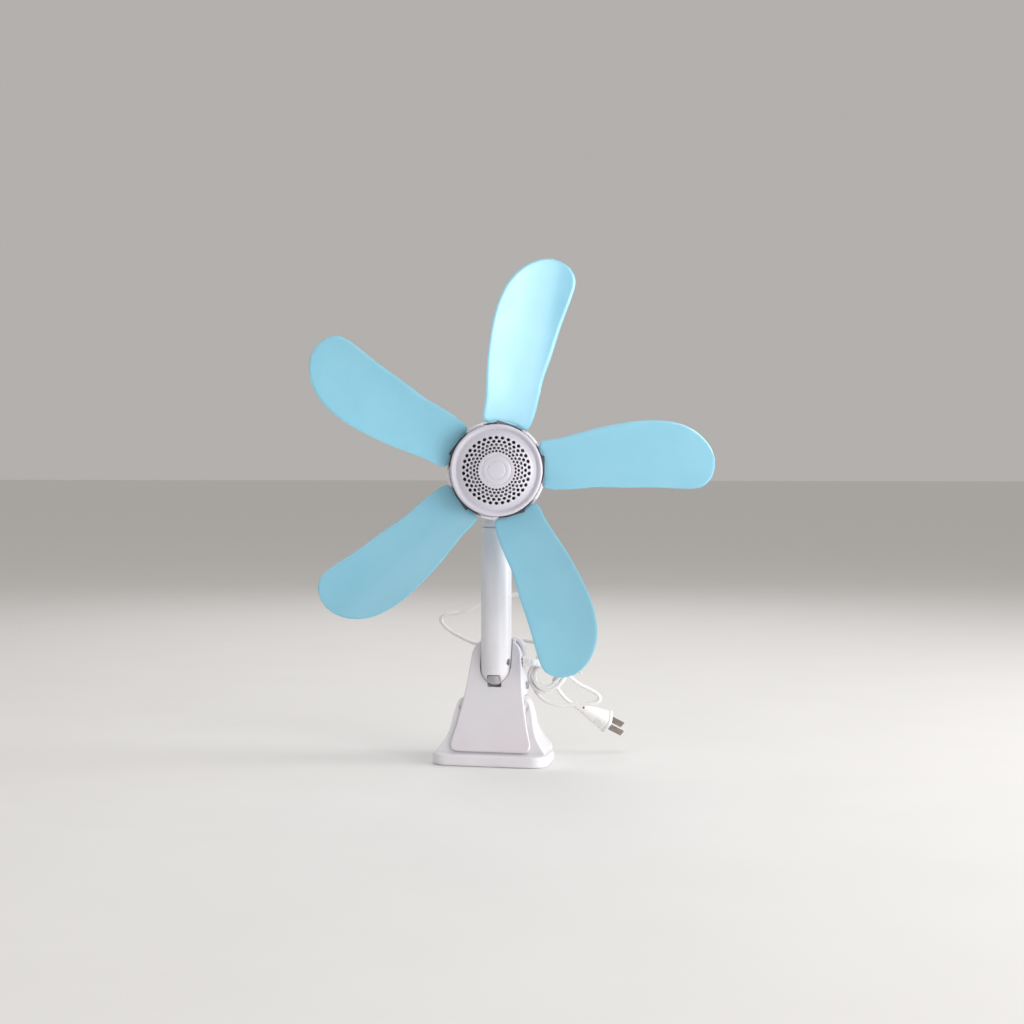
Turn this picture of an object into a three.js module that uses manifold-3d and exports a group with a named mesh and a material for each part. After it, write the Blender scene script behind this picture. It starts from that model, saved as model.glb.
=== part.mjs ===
// Clip-on desk fan: five blades on a round motor head, a pole that tilts and a spring clip that stands on
// its own wide jaws. Millimetres, +Z up, front towards -Y. The origin is on the floor, between the two jaws.

import * as THREE from 'three';
import { mergeVertices } from 'three/addons/utils/BufferGeometryUtils.js';
import Module from 'manifold-3d';

const wasm = await Module();
wasm.setup();

// ---------------------------------------------------------------- driving dimensions

const gap = 0.3;               // between pieces that touch
const wall = 3;                // moulded wall of the clip

const bladeTip = 210;          // radius of the blade disc
const bladeCount = 5;
const bladeThickness = 1.8;
const bladeRoot = 46.3;        // radius where the visible blade starts

const hubRadius = 43.8;        // front cover
const potRadius = 47.3;        // rear cover, seen between the blade roots
const hubHeight = 285;
const hubReach = 50;           // blade plane in front of the pole's axis
const headTurn = THREE.MathUtils.degToRad(12);
const shaftRadius = 4;
const statorRadius = 21.5;

const poleY = -8;
const poleRadius = 15;
const poleBore = 12.2;
const poleTop = 229;
const tiltHeight = 88;
const tiltBack = 10;           // degrees of tilt the clip leaves room for
const tiltForward = 30;

const jawHalfWidth = 57;
const rearNarrower = 9;        // the rear jaw's lip, on each side
const jawDepth = 52;
const lipHeight = 11;
const jawFace = 4;             // half the gap between the two jaws, filled by the pads at the lip
const wingTop = 60;
const clipTop = 118.5;
const kneeZ = 11.5;            // where the jaw's front face turns out into the lip
const plateTop = 121;
const plateTopY = -3;
const plateLean = Math.atan(0.3465);
const plateThickness = 3;
const pivotY = 10;
const pivotZ = 72;

const cordRadius = 2;

// ---------------------------------------------------------------- shape helpers

const flat = (points) => new THREE.Shape(points.map(([x, y]) => new THREE.Vector2(x, y)));

// A geometry as one solid with shared vertices and outward faces.
function solid(geometry) {
  const bare = geometry.clone();
  for (const name of Object.keys(bare.attributes)) {
    if (name !== 'position') bare.deleteAttribute(name);
  }
  const merged = mergeVertices(bare, 1e-4);
  const positions = merged.attributes.position;
  const index = Array.from(merged.index.array);
  const corner = [new THREE.Vector3(), new THREE.Vector3(), new THREE.Vector3()];
  const triangles = [];
  let volume = 0;
  for (let i = 0; i < index.length; i += 3) {
    const [a, b, c] = index.slice(i, i + 3);
    if (a === b || b === c || c === a) continue;
    corner.forEach((p, k) => p.fromBufferAttribute(positions, [a, b, c][k]));
    volume += corner[0].dot(corner[1].clone().cross(corner[2]));
    triangles.push([a, b, c]);
  }
  const outward = volume < 0 ? triangles.map(([a, b, c]) => [a, c, b]) : triangles;
  return new wasm.Manifold(new wasm.Mesh({
    numProp: 3,
    vertProperties: new Float32Array(positions.array),
    triVerts: new Uint32Array(outward.flat()),
  }));
}

const join = (...solids) => wasm.Manifold.union(solids);

function geometryOf(body) {
  const mesh = body.getMesh();
  const geometry = new THREE.BufferGeometry();
  geometry.setAttribute('position', new THREE.BufferAttribute(new Float32Array(mesh.vertProperties), 3));
  geometry.setIndex(new THREE.BufferAttribute(new Uint32Array(mesh.triVerts), 1));
  geometry.computeVertexNormals();
  return geometry;
}

// Prisms: an outline in two coordinates, pushed along the third.
function prismZ(points, z0, z1, curveSegments = 6) {
  const shape = points instanceof THREE.Shape ? points : flat(points);
  const geometry = new THREE.ExtrudeGeometry(shape, { depth: z1 - z0, bevelEnabled: false, curveSegments });
  return solid(geometry.translate(0, 0, z0));
}

function prismY(points, y0, y1) {
  const geometry = new THREE.ExtrudeGeometry(flat(points), { depth: y1 - y0, bevelEnabled: false });
  return solid(geometry.rotateX(Math.PI / 2).translate(0, y1, 0));
}

function prismX(points, x0, x1) {
  const geometry = new THREE.ExtrudeGeometry(flat(points), { depth: x1 - x0, bevelEnabled: false });
  const turn = new THREE.Matrix4().makeBasis(
    new THREE.Vector3(0, 1, 0), new THREE.Vector3(0, 0, 1), new THREE.Vector3(1, 0, 0),
  );
  return solid(geometry.applyMatrix4(turn).translate(x0, 0, 0));
}

const box = (x0, x1, y0, y1, z0, z1) => prismZ([[x0, y0], [x1, y0], [x1, y1], [x0, y1]], z0, z1);

function cylinderZ(radius, z0, z1, sides = 24) {
  const geometry = new THREE.CylinderGeometry(radius, radius, z1 - z0, sides);
  return solid(geometry.rotateX(Math.PI / 2).translate(0, 0, (z0 + z1) / 2));
}

function cylinderX(radius, x0, x1, y, z, sides = 20) {
  const geometry = new THREE.CylinderGeometry(radius, radius, x1 - x0, sides);
  return solid(geometry.rotateZ(Math.PI / 2).translate((x0 + x1) / 2, y, z));
}

const ball = (radius, sides = 24) => solid(new THREE.SphereGeometry(radius, sides, sides / 2));

// A closed (radius, height) outline turned about +Z.
function turned(outline, sides = 36) {
  const points = [...outline, outline[0]].map(([r, z]) => new THREE.Vector2(r, z));
  return solid(new THREE.LatheGeometry(points, sides).rotateX(Math.PI / 2));
}

const ring = (inner, outer, z0, z1, sides = 24) => turned(
  [[inner, z0], [outer, z0], [outer, z1], [inner, z1]], sides,
);

// The outline with every stretch between its points rounded into a smooth curve.
function smoothed(points, count) {
  const curve = new THREE.SplineCurve(points.map(([x, y]) => new THREE.Vector2(x, y)));
  return curve.getPoints(count).map((p) => [p.x, p.y]);
}

const mirrored = (half) => [...half, ...half.slice().reverse().map(([x, z]) => [-x, z])];

// A round section pushed along a smooth curve through the points.
function tube(points, radius, sides, steps) {
  const corners = points.map((p) => new THREE.Vector3(...p));
  const path = new THREE.CatmullRomCurve3(corners, false, 'catmullrom', 0.5);
  const section = new THREE.Shape();
  for (let i = 0; i < sides; i += 1) {
    const angle = (i / sides) * 2 * Math.PI;
    const corner = [radius * Math.cos(angle), radius * Math.sin(angle)];
    if (i === 0) section.moveTo(...corner);
    else section.lineTo(...corner);
  }
  return solid(new THREE.ExtrudeGeometry(section, { steps, extrudePath: path, bevelEnabled: false }));
}

// ---------------------------------------------------------------- materials

const plastic = (color) => new THREE.MeshStandardMaterial({ color, roughness: 0.4, metalness: 0 });
const metal = (color) => new THREE.MeshStandardMaterial({ color, roughness: 0.35, metalness: 1 });
const white = plastic(0xece8f2);
const tinted = plastic(0xf1e6ea);
const blue = plastic(0x8fd3e8);
const dark = plastic(0x55565c);
const rubber = new THREE.MeshStandardMaterial({ color: 0x8d8f95, roughness: 0.8, metalness: 0 });
const steel = metal(0xb9bbbf);
const copper = metal(0xb5713d);
const brass = metal(0xb79a5f);

function piece(name, body, material) {
  const mesh = new THREE.Mesh(geometryOf(body), material);
  mesh.name = name;
  return mesh;
}

function group(children, place = {}) {
  const made = new THREE.Group();
  made.add(...children);
  if (place.position) made.position.set(...place.position);
  if (place.turn) made.rotation.set(...place.turn);
  return made;
}

// ---------------------------------------------------------------- clip

// Half outlines seen from the front, from the centre line outwards and down.
const wings = smoothed([
  [33, wingTop + 1.3], [35.6, wingTop - 1.5], [37.6, 53], [39.6, 45], [41, 37], [42.8, 30], [45.8, 23.5],
  [50, 17], [54.5, lipHeight],
], 18);
const frontHalf = [
  ...smoothed([[0, clipTop], [11, 116.8], [18, 112.5], [22.5, 105], [24.5, 95]], 10),
  [26, 84], [26.9, pivotZ], [27.3, 64], [28, wingTop + 2.5], ...wings, [54.5, 1],
];
const rearWings = wings.map(([x, z]) => [x - 7.5, z]);
const rearHalf = [
  ...smoothed([[0, 117.5], [9, 117], [16, 114], [20.5, 107], [21.8, 99]], 8), [21.8, wingTop + 1.5],
  ...rearWings, [47, 1],
];

// The same outline moved in by a wall, ending level with the lip's inside.
function inset(half, by) {
  const inner = half.map(([x, z]) => [x - by, z - by]).filter(([x, z]) => x > 0.5 && z > lipHeight + 1.5);
  return [[0, half[0][1] - by], ...inner, [half[half.length - 1][0] - 4.5, lipHeight + 1]];
}

// The front face of the raised plate leans back; this gives its y at a height.
const plateY = (z) => plateTopY - (plateTop - z) * Math.tan(plateLean);
const jawFrontY = (z) => plateY(z) + (plateThickness + gap) / Math.cos(plateLean);

const lipWidth = (front) => (front ? jawHalfWidth : jawHalfWidth - rearNarrower);

function lip(front) {
  const corner = 16;
  const half = lipWidth(front);
  const outline = new THREE.Shape();
  outline.moveTo(-half, jawFace);
  outline.lineTo(half, jawFace);
  outline.lineTo(half, jawDepth - corner);
  outline.absarc(half - corner, jawDepth - corner, corner, 0, Math.PI / 2);
  outline.absarc(corner - half, jawDepth - corner, corner, Math.PI / 2, Math.PI);
  const geometry = new THREE.ExtrudeGeometry(outline, {
    depth: lipHeight - 4, bevelEnabled: true, bevelThickness: 2, bevelSize: 2, bevelOffset: -2,
    bevelSegments: 2, curveSegments: 6,
  });
  geometry.translate(0, 0, 2);
  if (front) geometry.rotateZ(Math.PI);
  return solid(geometry);
}

function lipHollow(front) {
  const edge = lipWidth(front) - 6;
  const near = jawFace + wall;
  const hollow = join(
    box(-edge, edge, near, jawDepth - 6, wall, lipHeight - wall),
    box(6 - edge, edge - 6, near, 35, wall, lipHeight + 2),
  );
  return front ? hollow.rotate([0, 0, 180]) : hollow;
}

// Everything the pole sweeps as it tilts, with a little room around it.
function poleSweep(radius) {
  const shapes = [ball(radius, 18)];
  for (let angle = -tiltForward; angle <= tiltBack; angle += 10) {
    shapes.push(cylinderZ(radius, 0, 60, 18).rotate([-angle, 0, 0]));
  }
  return join(...shapes).translate([0, poleY, tiltHeight]);
}

// What the switch, which stands proud of the pole, sweeps below the socket's mouth.
function rockerSweep(radius, half) {
  return cylinderX(radius, -half, half, poleY, tiltHeight, 32)
    .intersect(box(-half, half, -60, poleY, 0, tiltHeight));
}

const poleRoom = poleRadius + 0.6;
const troughWall = 2.6;
const rockerRoom = [18.5, 7];
const socket = () => join(poleSweep(poleRoom), rockerSweep(...rockerRoom));

function frontJaw() {
  const side = [
    [jawFrontY(clipTop), clipTop], [jawFrontY(kneeZ), kneeZ], [-43, lipHeight - 1], [-43, 1], [-jawFace, 1],
    [-jawFace, wingTop + 3], [pivotY, pivotZ - 9], [pivotY + 6.5, pivotZ - 6], [pivotY + 9, pivotZ],
    [pivotY + 7, pivotZ + 7], [pivotY + 2, pivotZ + 14], [9.5, 95], [9.5, clipTop],
  ];
  const back = 40;
  const hollow = [
    [jawFrontY(clipTop) + wall, clipTop], [jawFrontY(lipHeight + 1) + wall, lipHeight + 1],
    [back, lipHeight + 1], [back, clipTop],
  ];
  const outer = prismY(mirrored(frontHalf), -60, back).intersect(prismX(side, -60, 60));
  const inner = prismY(mirrored(inset(frontHalf, wall)), -60, back).intersect(prismX(hollow, -60, 60));
  const shell = join(outer, lip(true)).subtract(join(inner, lipHollow(true)));

  const around = join(
    poleSweep(poleRoom + troughWall), rockerSweep(...rockerRoom.map((size) => size + troughWall)),
  );
  const trough = around.intersect(prismX([
    [jawFrontY(clipTop), clipTop], [jawFrontY(60), 60], [back, 60], [back, clipTop],
  ], -30, 30));
  const tongueSlot = box(-tongueHalf - gap, tongueHalf + gap, poleY, 20, tiltHeight - 9.3, tiltHeight + 9.3);
  const pinHoles = cylinderX(2.7, -40, 40, pivotY, pivotZ);
  const sideSlots = join(
    box(32, 34.4, -60, jawFrontY(50) + wall, 51, 57),
    box(-34.4, -32, -60, jawFrontY(50) + wall, 51, 57),
  );
  const glandHole = cylinderX(glandNeck + 0.2, 18, 40, glandY, glandZ);
  return join(shell, trough)
    .subtract(join(socket(), tongueSlot, pinHoles, sideSlots, glandHole));
}

function rearJaw() {
  const back = smoothed([
    [45.5, 117.5], [36.5, 102], [29.5, 89], [25, 77], [23.5, 66], [25, 54], [30, 36], [36, 17],
  ], 16);
  const outside = [...back, [43, lipHeight - 1], [43, 1]];
  const side = [
    ...outside, [jawFace, 1], [jawFace, wingTop - 2], [pivotY - 8, pivotZ - 5], [pivotY - 8.5, pivotZ],
    [pivotY - 5.5, pivotZ + 7], [pivotY + 2, pivotZ + 9.5], [22, 90], [30, 103], [39, 117.5],
  ];
  const inside = [
    ...back.map(([y, z]) => [y - wall, z]), [36, lipHeight + 1], [-30, lipHeight + 1],
    [-30, 117.5],
  ];
  const outer = prismY(mirrored(rearHalf), -60, 60).intersect(prismX(side, -60, 60));
  const inner = prismY(mirrored(inset(rearHalf, wall)), -60, 60).intersect(prismX(inside, -60, 60));
  const pinHole = cylinderX(2.65, -40, 40, pivotY, pivotZ);
  const gripRibs = [103, 107, 111].map((z) => box(-14, 14, -1.5, 0.9, -0.8, 0.8)
    .rotate([-30, 0, 0])
    .translate([0, 36.5 + (z - 102) * 0.581, z]));
  return join(outer, lip(false), ...gripRibs).subtract(join(inner, lipHollow(false), pinHole));
}

// The raised plate, drawn in its own leaning plane and cut for the pole.
function frontPlate() {
  const along = (z) => (z - plateTop) / Math.cos(plateLean);
  const corner = 9;
  const bottom = along(12.8);
  const outline = new THREE.Shape();
  outline.moveTo(0, 0);
  outline.bezierCurveTo(13, 0, 22, -6, 24.3, along(106));
  outline.lineTo(26.3, along(89));
  outline.bezierCurveTo(27.8, along(70), 31, along(56), 35.2, along(36));
  outline.lineTo(39.4, bottom + corner);
  outline.quadraticCurveTo(40.6, bottom, 32, bottom);
  outline.lineTo(-32, bottom);
  outline.quadraticCurveTo(-40.6, bottom, -39.4, bottom + corner);
  outline.lineTo(-35.2, along(36));
  outline.bezierCurveTo(-31, along(56), -27.8, along(70), -26.3, along(89));
  outline.lineTo(-24.3, along(106));
  outline.bezierCurveTo(-22, -6, -13, 0, 0, 0);
  const bevel = 0.8;
  const geometry = new THREE.ExtrudeGeometry(outline, {
    depth: plateThickness - bevel, bevelEnabled: true, bevelThickness: bevel, bevelSize: bevel,
    bevelOffset: -bevel, bevelSegments: 1, curveSegments: 7,
  });
  geometry.translate(0, 0, -plateThickness);
  const trimmed = solid(geometry).subtract(box(-50, 50, -130, 10, -9, -plateThickness));
  return trimmed
    .rotate([90 - THREE.MathUtils.radToDeg(plateLean), 0, 0])
    .translate([0, plateTopY, plateTop])
    .subtract(socket());
}

// The front pad reaches the floor and just past the middle; the rear one stays clear of both as it opens.
function pad(front) {
  const near = front ? -0.4 : 0.7;
  const half = lipWidth(front) - 9;
  const base = box(-half, half, near, jawFace - gap, front ? 0 : 1.5, lipHeight - 1.5);
  const grooves = [3.6, 5.5, 7.4].map((z) => box(-50, 50, near - 1, near + 0.9, z - 0.4, z + 0.4));
  const made = base.subtract(join(...grooves));
  return front ? made.rotate([0, 0, 180]) : made;
}

const tongueHalf = 4.5;
const tonguePin = 2.5;

// Steel tongue that the pole tilts on. Its foot lies behind the socket wall of the front jaw.
function tiltBracket() {
  const socketBack = poleY + poleRoom + troughWall + gap;
  const tongue = join(
    cylinderX(5.6, -tongueHalf, tongueHalf, poleY, tiltHeight),
    box(-tongueHalf, tongueHalf, poleY, socketBack + 2, tiltHeight - 5.6, tiltHeight + 5.6),
  );
  const foot = box(-9, 9, socketBack + 1.6, socketBack + 3.6, tiltHeight - 9, tiltHeight + 9);
  return join(tongue, foot).subtract(cylinderX(tonguePin + 0.15, -10, 10, poleY, tiltHeight));
}

function rivet(radius, reach, head, headLength, y, z) {
  return join(
    cylinderX(radius, -reach, reach, y, z, 16),
    cylinderX(head, reach, reach + headLength, y, z, 16),
    cylinderX(head, -reach - headLength, -reach, y, z, 16),
  );
}

// Torsion spring around the jaw pivot, one arm on the handle and one on the front jaw.
function jawSpring() {
  const wire = 0.9;
  const coil = 4.6;
  const turns = 4;
  const pitch = 2.5;
  const start = -turns * pitch / 2;
  const points = [[start - 1, pivotY + 10.5, pivotZ + 15], [start - 0.5, pivotY + coil + 1.2, pivotZ + 6]];
  const perTurn = 8;
  for (let i = 0; i <= turns * perTurn; i += 1) {
    const angle = -(i / perTurn) * 2 * Math.PI;
    points.push([
      start + (i / perTurn) * pitch, pivotY + coil * Math.cos(angle), pivotZ + coil * Math.sin(angle),
    ]);
  }
  points.push([-start + 0.5, pivotY + coil + 0.4, pivotZ - 5]);
  points.push([-start + 1, pivotY - 4, pivotZ - 17]);
  return tube(points, wire, 5, turns * 9 + 6);
}

// ---------------------------------------------------------------- pole

const screwTurn = 67;          // the core screw's direction, degrees from the front towards +X
const screwHeight = 97;
const screwAlong = (body) => body
  .rotate([90, 0, 0])
  .rotate([0, 0, screwTurn])
  .translate([0, 0, screwHeight - tiltHeight]);
const rockerHeight = 81;
const rockerHalf = [5.7, 3.1];
const rockerPivot = -10.7;     // from the pole's axis
const rockerRest = THREE.MathUtils.degToRad(8);
const switchFront = -9.2;
const stubRadius = 8.2;

// The pole's group stands on the tilt axis, so its own z runs from there.
function pole() {
  const top = poleTop - tiltHeight;
  const switchZ = rockerHeight - tiltHeight;
  const outer = join(ball(poleRadius, 24), cylinderZ(poleRadius, 0, top, 24));
  const bore = join(ball(poleBore, 16), cylinderZ(poleBore, 0, top - 11, 16));
  const neckHole = cylinderZ(stubRadius + 0.3, top - 12, top + 1);
  const slot = box(-tongueHalf - gap, tongueHalf + gap, 0, 20, -16, 14);
  const pinHole = cylinderX(tonguePin + 0.15, -20, 20, 0, 0);
  const window = box(
    -rockerHalf[0] - 2 * gap, rockerHalf[0] + 2 * gap, -20, switchFront - 0.1,
    switchZ - rockerHalf[1] - gap, switchZ + rockerHalf[1] + gap,
  );
  const bay = box(-5.7, 5.7, switchFront - gap, -5, switchZ - 3, switchZ + 3);
  const recess = screwAlong(join(cylinderZ(3.3, poleRadius - 3.2, 20, 14), cylinderZ(1.9, 5, 20, 12)));
  return outer.subtract(join(bore, neckHole, slot, pinHole, window, bay, recess));
}

function knuckleCore() {
  const radius = poleBore - 2 * gap;
  const body = join(ball(radius, 16), cylinderZ(radius, 0, 18, 16)).intersect(box(-20, 20, -20, 20, -10, 18));
  const slot = box(-tongueHalf - gap, tongueHalf + gap, -6.2, 20, -12, 12);
  const wireHole = cylinderZ(2.2, 0, 30, 12).translate([0, -4, 0]);
  const pinHole = cylinderX(tonguePin + 0.15, -20, 20, 0, 0);
  const switchBay = box(-6.6, 6.6, -20, -6.4, -12, 0);
  const screwHole = screwAlong(cylinderZ(1.9, 2, 20, 12));
  return body.subtract(join(slot, wireHole, pinHole, switchBay, screwHole));
}

function coreScrew() {
  const head = cylinderZ(2.9, poleRadius - 4.1 + gap + 1.3, poleRadius - 1.4, 14)
    .subtract(join(
      box(-2, 2, -0.4, 0.4, poleRadius - 2.2, 16),
      box(-0.4, 0.4, -2, 2, poleRadius - 2.2, 16),
    ));
  return screwAlong(join(head, cylinderZ(1.6, 4, poleRadius - 2, 12)));
}

function switchBody() {
  const z = rockerHeight - tiltHeight;
  return box(-5.4, 5.4, switchFront, -6.7, z - 2.7, z + 2.7)
    .subtract(box(-4, 4, -11, switchFront + 0.8, z - 1.8, z + 1.8));
}

// The rocker's faces slope away from its pivot on both sides; it rests pressed to one side.
function rocker() {
  const outline = [
    [-rockerHalf[0], -2.6], [-1.4, -3.9], [1.4, -3.9], [rockerHalf[0], -2.6], [rockerHalf[0] - 0.8, -0.6],
    [2, 0.8], [-2, 0.8], [-rockerHalf[0] + 0.8, -0.6],
  ];
  return prismZ(outline, -rockerHalf[1], rockerHalf[1]);
}

// ---------------------------------------------------------------- head

const neckEnd = hubReach - 24; // the neck's face behind the motor, from the pole's axis

function neckPath(start, end) {
  const z = hubHeight;
  return [
    [0, 0, start], [0, 0, poleTop + 16], [0, 0, z - 27], [0, -5.5, z - 11.5], [0, -15, z - 2.6],
    [0, -22, z], [0, -end, z],
  ];
}

function neck() {
  const top = poleTop;
  const stub = join(
    cylinderZ(stubRadius, top - 15.5, top + 4),
    cylinderZ(stubRadius + 2.2, top - 15.5, top - 13.3),
  );
  const outside = join(tube(neckPath(top + gap, neckEnd), 13.4, 16, 11), stub);
  const bore = join(tube(neckPath(top + 4, neckEnd + 1), 9.6, 10, 9), cylinderZ(5.2, top - 20, top + 12, 12));
  const endPlate = cylinderZ(13.4, 0, 3, 20).subtract(cylinderZ(shaftRadius + 0.15, -1, 5, 16))
    .rotate([90, 0, 0])
    .translate([0, -neckEnd + 3, hubHeight]);
  return join(outside.subtract(bore), endPlate);
}

const swivelWasher = () => ring(stubRadius + 0.15, poleBore - gap, poleTop - 13, poleTop - 11 - gap, 20);

// Motor pieces, turned about the fan's axis; z runs towards the front and is zero at the blade plane.
const motorShaft = () => join(
  cylinderZ(shaftRadius, -31, 18.5, 20),
  cylinderZ(shaftRadius + 1.6, -12.1, -10.7, 20),
);
const shaftNut = () => cylinderZ(7, -30.6, -27.3, 6).subtract(cylinderZ(shaftRadius + 0.15, -40, 0, 16));

function statorCore() {
  const poles = 8;
  const body = cylinderZ(statorRadius, -4.5, 4.5, 32);
  const slots = Array.from({ length: poles }, (_, i) => join(
    box(11.5, 18.5, -2.9, 2.9, -10, 10),
    box(15, 40, -1, 1, -10, 10),
  ).rotate([0, 0, (i * 360) / poles]));
  return body.subtract(join(cylinderZ(shaftRadius + 0.15, -10, 10, 20), ...slots));
}

const winding = (z0, z1) => ring(9, 18, z0, z1, 20);
const rotorRing = () => ring(statorRadius + 0.9, statorRadius + 3.3, -19.2, 6, 28);
const bearing = (z0, z1) => ring(shaftRadius + 0.15, 8, z0, z1, 20);

function rearCover() {
  const outline = [
    [hubRadius + gap, 3], [hubRadius + gap, 5], [potRadius, 5], [potRadius, -12], [potRadius - 2.5, -18],
    [potRadius - 8, -21.4], [potRadius - 14, -22.4], [10.4, -22.4], [10.4, -21], [6.4, -21], [6.4, -19.6],
    [potRadius - 14, -19.6], [potRadius - 9, -18.4], [potRadius - 4.4, -16], [potRadius - 2.5, -11.5],
  ];
  const boss = ring(8.3, 10.6, -20.5, -15, 20);
  const posts = bladeAngles.map((angle) => cylinderZ(4.4, -20.5, postTop(), 8)
    .subtract(cylinderZ(1.35, -17, 10, 8))
    .translate([tabScrew[0], tabScrew[1], 0])
    .rotate([0, 0, angle]));
  const notches = bladeAngles.map((angle) => prismX([
    [-15.5, -13], [-5, -11], [5, -8], [14, -4.4], [27, 2], [27, 12], [-15.5, 12],
  ], 35, 60).rotate([0, 0, angle]));
  const vents = Array.from({ length: 10 }, (_, i) => box(33.5, 41, -1.6, 1.6, -30, -15)
    .rotate([0, 0, i * 36 + 18]));
  return join(turned(outline, 30), boss).subtract(join(...notches, ...vents)).add(join(...posts));
}

const grilleRows = [21, 25, 29.2];
const holesPerRow = 20;

function frontCover() {
  const outline = [
    [0, 23.4], [18, 22], [32, 17.8], [36, 15.6], [38, 14.9], [39.8, 15.6], [41.6, 16.8],
    [43, 16.2], [hubRadius, 14.6], [hubRadius, 5.3], [hubRadius - 2.2, 5.3], [hubRadius - 2.2, 12.6],
    [35.5, 13.1], [32, 15.2], [18, 19.4], [0, 21],
  ];
  const boss = ring(8.3, 10.6, 12.8, 21.8, 20);
  const holes = grilleRows.flatMap((radius, row) => Array.from({ length: holesPerRow }, (_, i) => {
    const angle = ((i + (row % 2) / 2) * 360) / holesPerRow;
    return cylinderZ(1.1 + row * 0.15, 8, 30, 5).translate([radius, 0, 0]).rotate([0, 0, angle]);
  }));
  return join(turned(outline, 30), boss).subtract(join(...holes));
}

// ---------------------------------------------------------------- blades

const bladeAngles = Array.from({ length: bladeCount }, (_, i) => (i * 360) / bladeCount);
const tabHalf = [-4.5, 14];
const tabScrew = [38.5, 4.5];

// Edges of the blade that points right, hub at the origin: the front-view outline from root to tip.
const leadingEdge = [
  [bladeRoot, -11], [49, -16.4], [56, -18.4], [66, -18.6], [82, -17.4], [98, -16], [121, -16.6], [150, -16.4],
  [175, -17.4], [190, -17.4], [199, -14.8], [206, -7.5], [bladeTip - 0.8, 2],
];
const trailingEdge = [
  [bladeRoot, 21], [49.3, 27], [55, 29.3], [64, 31.6], [78, 35.4], [99, 41], [127, 46], [148, 47.6],
  [168, 45.8], [183, 41], [196, 32.5], [205, 21.5], [bladeTip - 0.8, 11],
];

// Depth of the blade's middle surface: pitched, less so towards the tip, and hollow on the front.
function bladeDepth(u, v) {
  const pitch = THREE.MathUtils.mapLinear(u, bladeRoot, bladeTip, 0.42, 0.25);
  const camber = 3.4 * (1 - ((v - 15) / 33) ** 2);
  return pitch * (v - 10) - camber;
}

// The root is hollowed to follow the round covers: how far a point near it moves in towards the hub.
function rootShift(u, v) {
  const near = Math.max(0, 1 - (u - bladeRoot) / 14);
  return near && near * (bladeRoot - Math.sqrt(bladeRoot ** 2 - v * v));
}

const postTop = () => bladeDepth(tabScrew[0], 0) - 1.8;

function sheet(lower, upper, rows, columns, thickness, shift = () => 0) {
  const curveOf = (points) => new THREE.SplineCurve(points.map(([x, y]) => new THREE.Vector2(x, y)));
  const [low, high] = [curveOf(lower), curveOf(upper)];
  const positions = [];
  for (const side of [1, -1]) {
    for (let i = 0; i <= rows; i += 1) {
      const [from, to] = [low.getPoint(i / rows), high.getPoint(i / rows)];
      for (let j = 0; j <= columns; j += 1) {
        const at = from.clone().lerp(to, j / columns);
        positions.push(at.x - shift(at.x, at.y), at.y, bladeDepth(at.x, at.y) + (side * thickness) / 2);
      }
    }
  }
  const layer = (rows + 1) * (columns + 1);
  const at = (side, i, j) => side * layer + i * (columns + 1) + j;
  const index = [];
  const quad = (a, b, c, d) => index.push(a, b, c, a, c, d);
  for (let i = 0; i < rows; i += 1) {
    for (let j = 0; j < columns; j += 1) {
      quad(at(0, i, j), at(0, i + 1, j), at(0, i + 1, j + 1), at(0, i, j + 1));
      quad(at(1, i, j), at(1, i, j + 1), at(1, i + 1, j + 1), at(1, i + 1, j));
    }
    quad(at(0, i, 0), at(1, i, 0), at(1, i + 1, 0), at(0, i + 1, 0));
    quad(at(0, i, columns), at(0, i + 1, columns), at(1, i + 1, columns), at(1, i, columns));
  }
  for (let j = 0; j < columns; j += 1) {
    quad(at(0, 0, j), at(0, 0, j + 1), at(1, 0, j + 1), at(1, 0, j));
    quad(at(0, rows, j), at(1, rows, j), at(1, rows, j + 1), at(0, rows, j + 1));
  }
  const geometry = new THREE.BufferGeometry();
  geometry.setAttribute('position', new THREE.BufferAttribute(new Float32Array(positions), 3));
  geometry.setIndex(index);
  return solid(geometry);
}

function blade() {
  const paddle = sheet(leadingEdge, trailingEdge, 16, 6, bladeThickness, rootShift);
  const [low, high] = tabHalf.map((v) => [[35.4, v], [52, v]]);
  const tab = sheet(low, high, 2, 3, 2.6);
  const hole = cylinderZ(1.5, -20, 20, 10).translate([tabScrew[0], tabScrew[1], 0]);
  return join(paddle, tab).subtract(hole);
}

function bladeScrew() {
  const seat = bladeDepth(...tabScrew) + 2.9;
  return join(cylinderZ(1.2, seat - 9, seat + 1, 10), cylinderZ(2.6, seat, seat + 1.8, 12))
    .subtract(box(-1.8, 1.8, -0.35, 0.35, seat + 1.2, seat + 3))
    .translate([tabScrew[0], tabScrew[1], 0]);
}

// ---------------------------------------------------------------- cord

const glandY = 2;
const glandZ = 96;
const glandNeck = 3.6;
const cordEnd = 0.15;

// Strain relief in the right wall of the front jaw, turned about +X.
function cordGland() {
  const hole = cordRadius + cordEnd;
  const outline = [
    [hole, 17.8], [4.6, 17.8], [4.6, 19.4], [glandNeck, 19.4], [glandNeck, 25.3], [5, 25.3], [3.4, 30],
    [hole, 30],
  ];
  return turned(outline, 16).rotate([0, 90, 0]).translate([0, glandY, glandZ]);
}

// The hank stands beside the clip: a leaning obround of wound cord with a tie round its middle.
const hank = { at: [53, 30, 95], lean: 32, height: 66, width: 32, depth: 13, strand: 8 };
const inHank = (body) => body.rotate([90, 0, 0]).rotate([0, hank.lean, 0]).translate(hank.at);

function obround(height, width) {
  const r = width / 2;
  const reach = height / 2 - r;
  const outline = new THREE.Shape();
  outline.moveTo(r, -reach);
  outline.lineTo(r, reach);
  outline.absarc(0, reach, r, 0, Math.PI);
  outline.lineTo(-r, -reach);
  outline.absarc(0, -reach, r, Math.PI, 2 * Math.PI);
  return outline;
}

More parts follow.
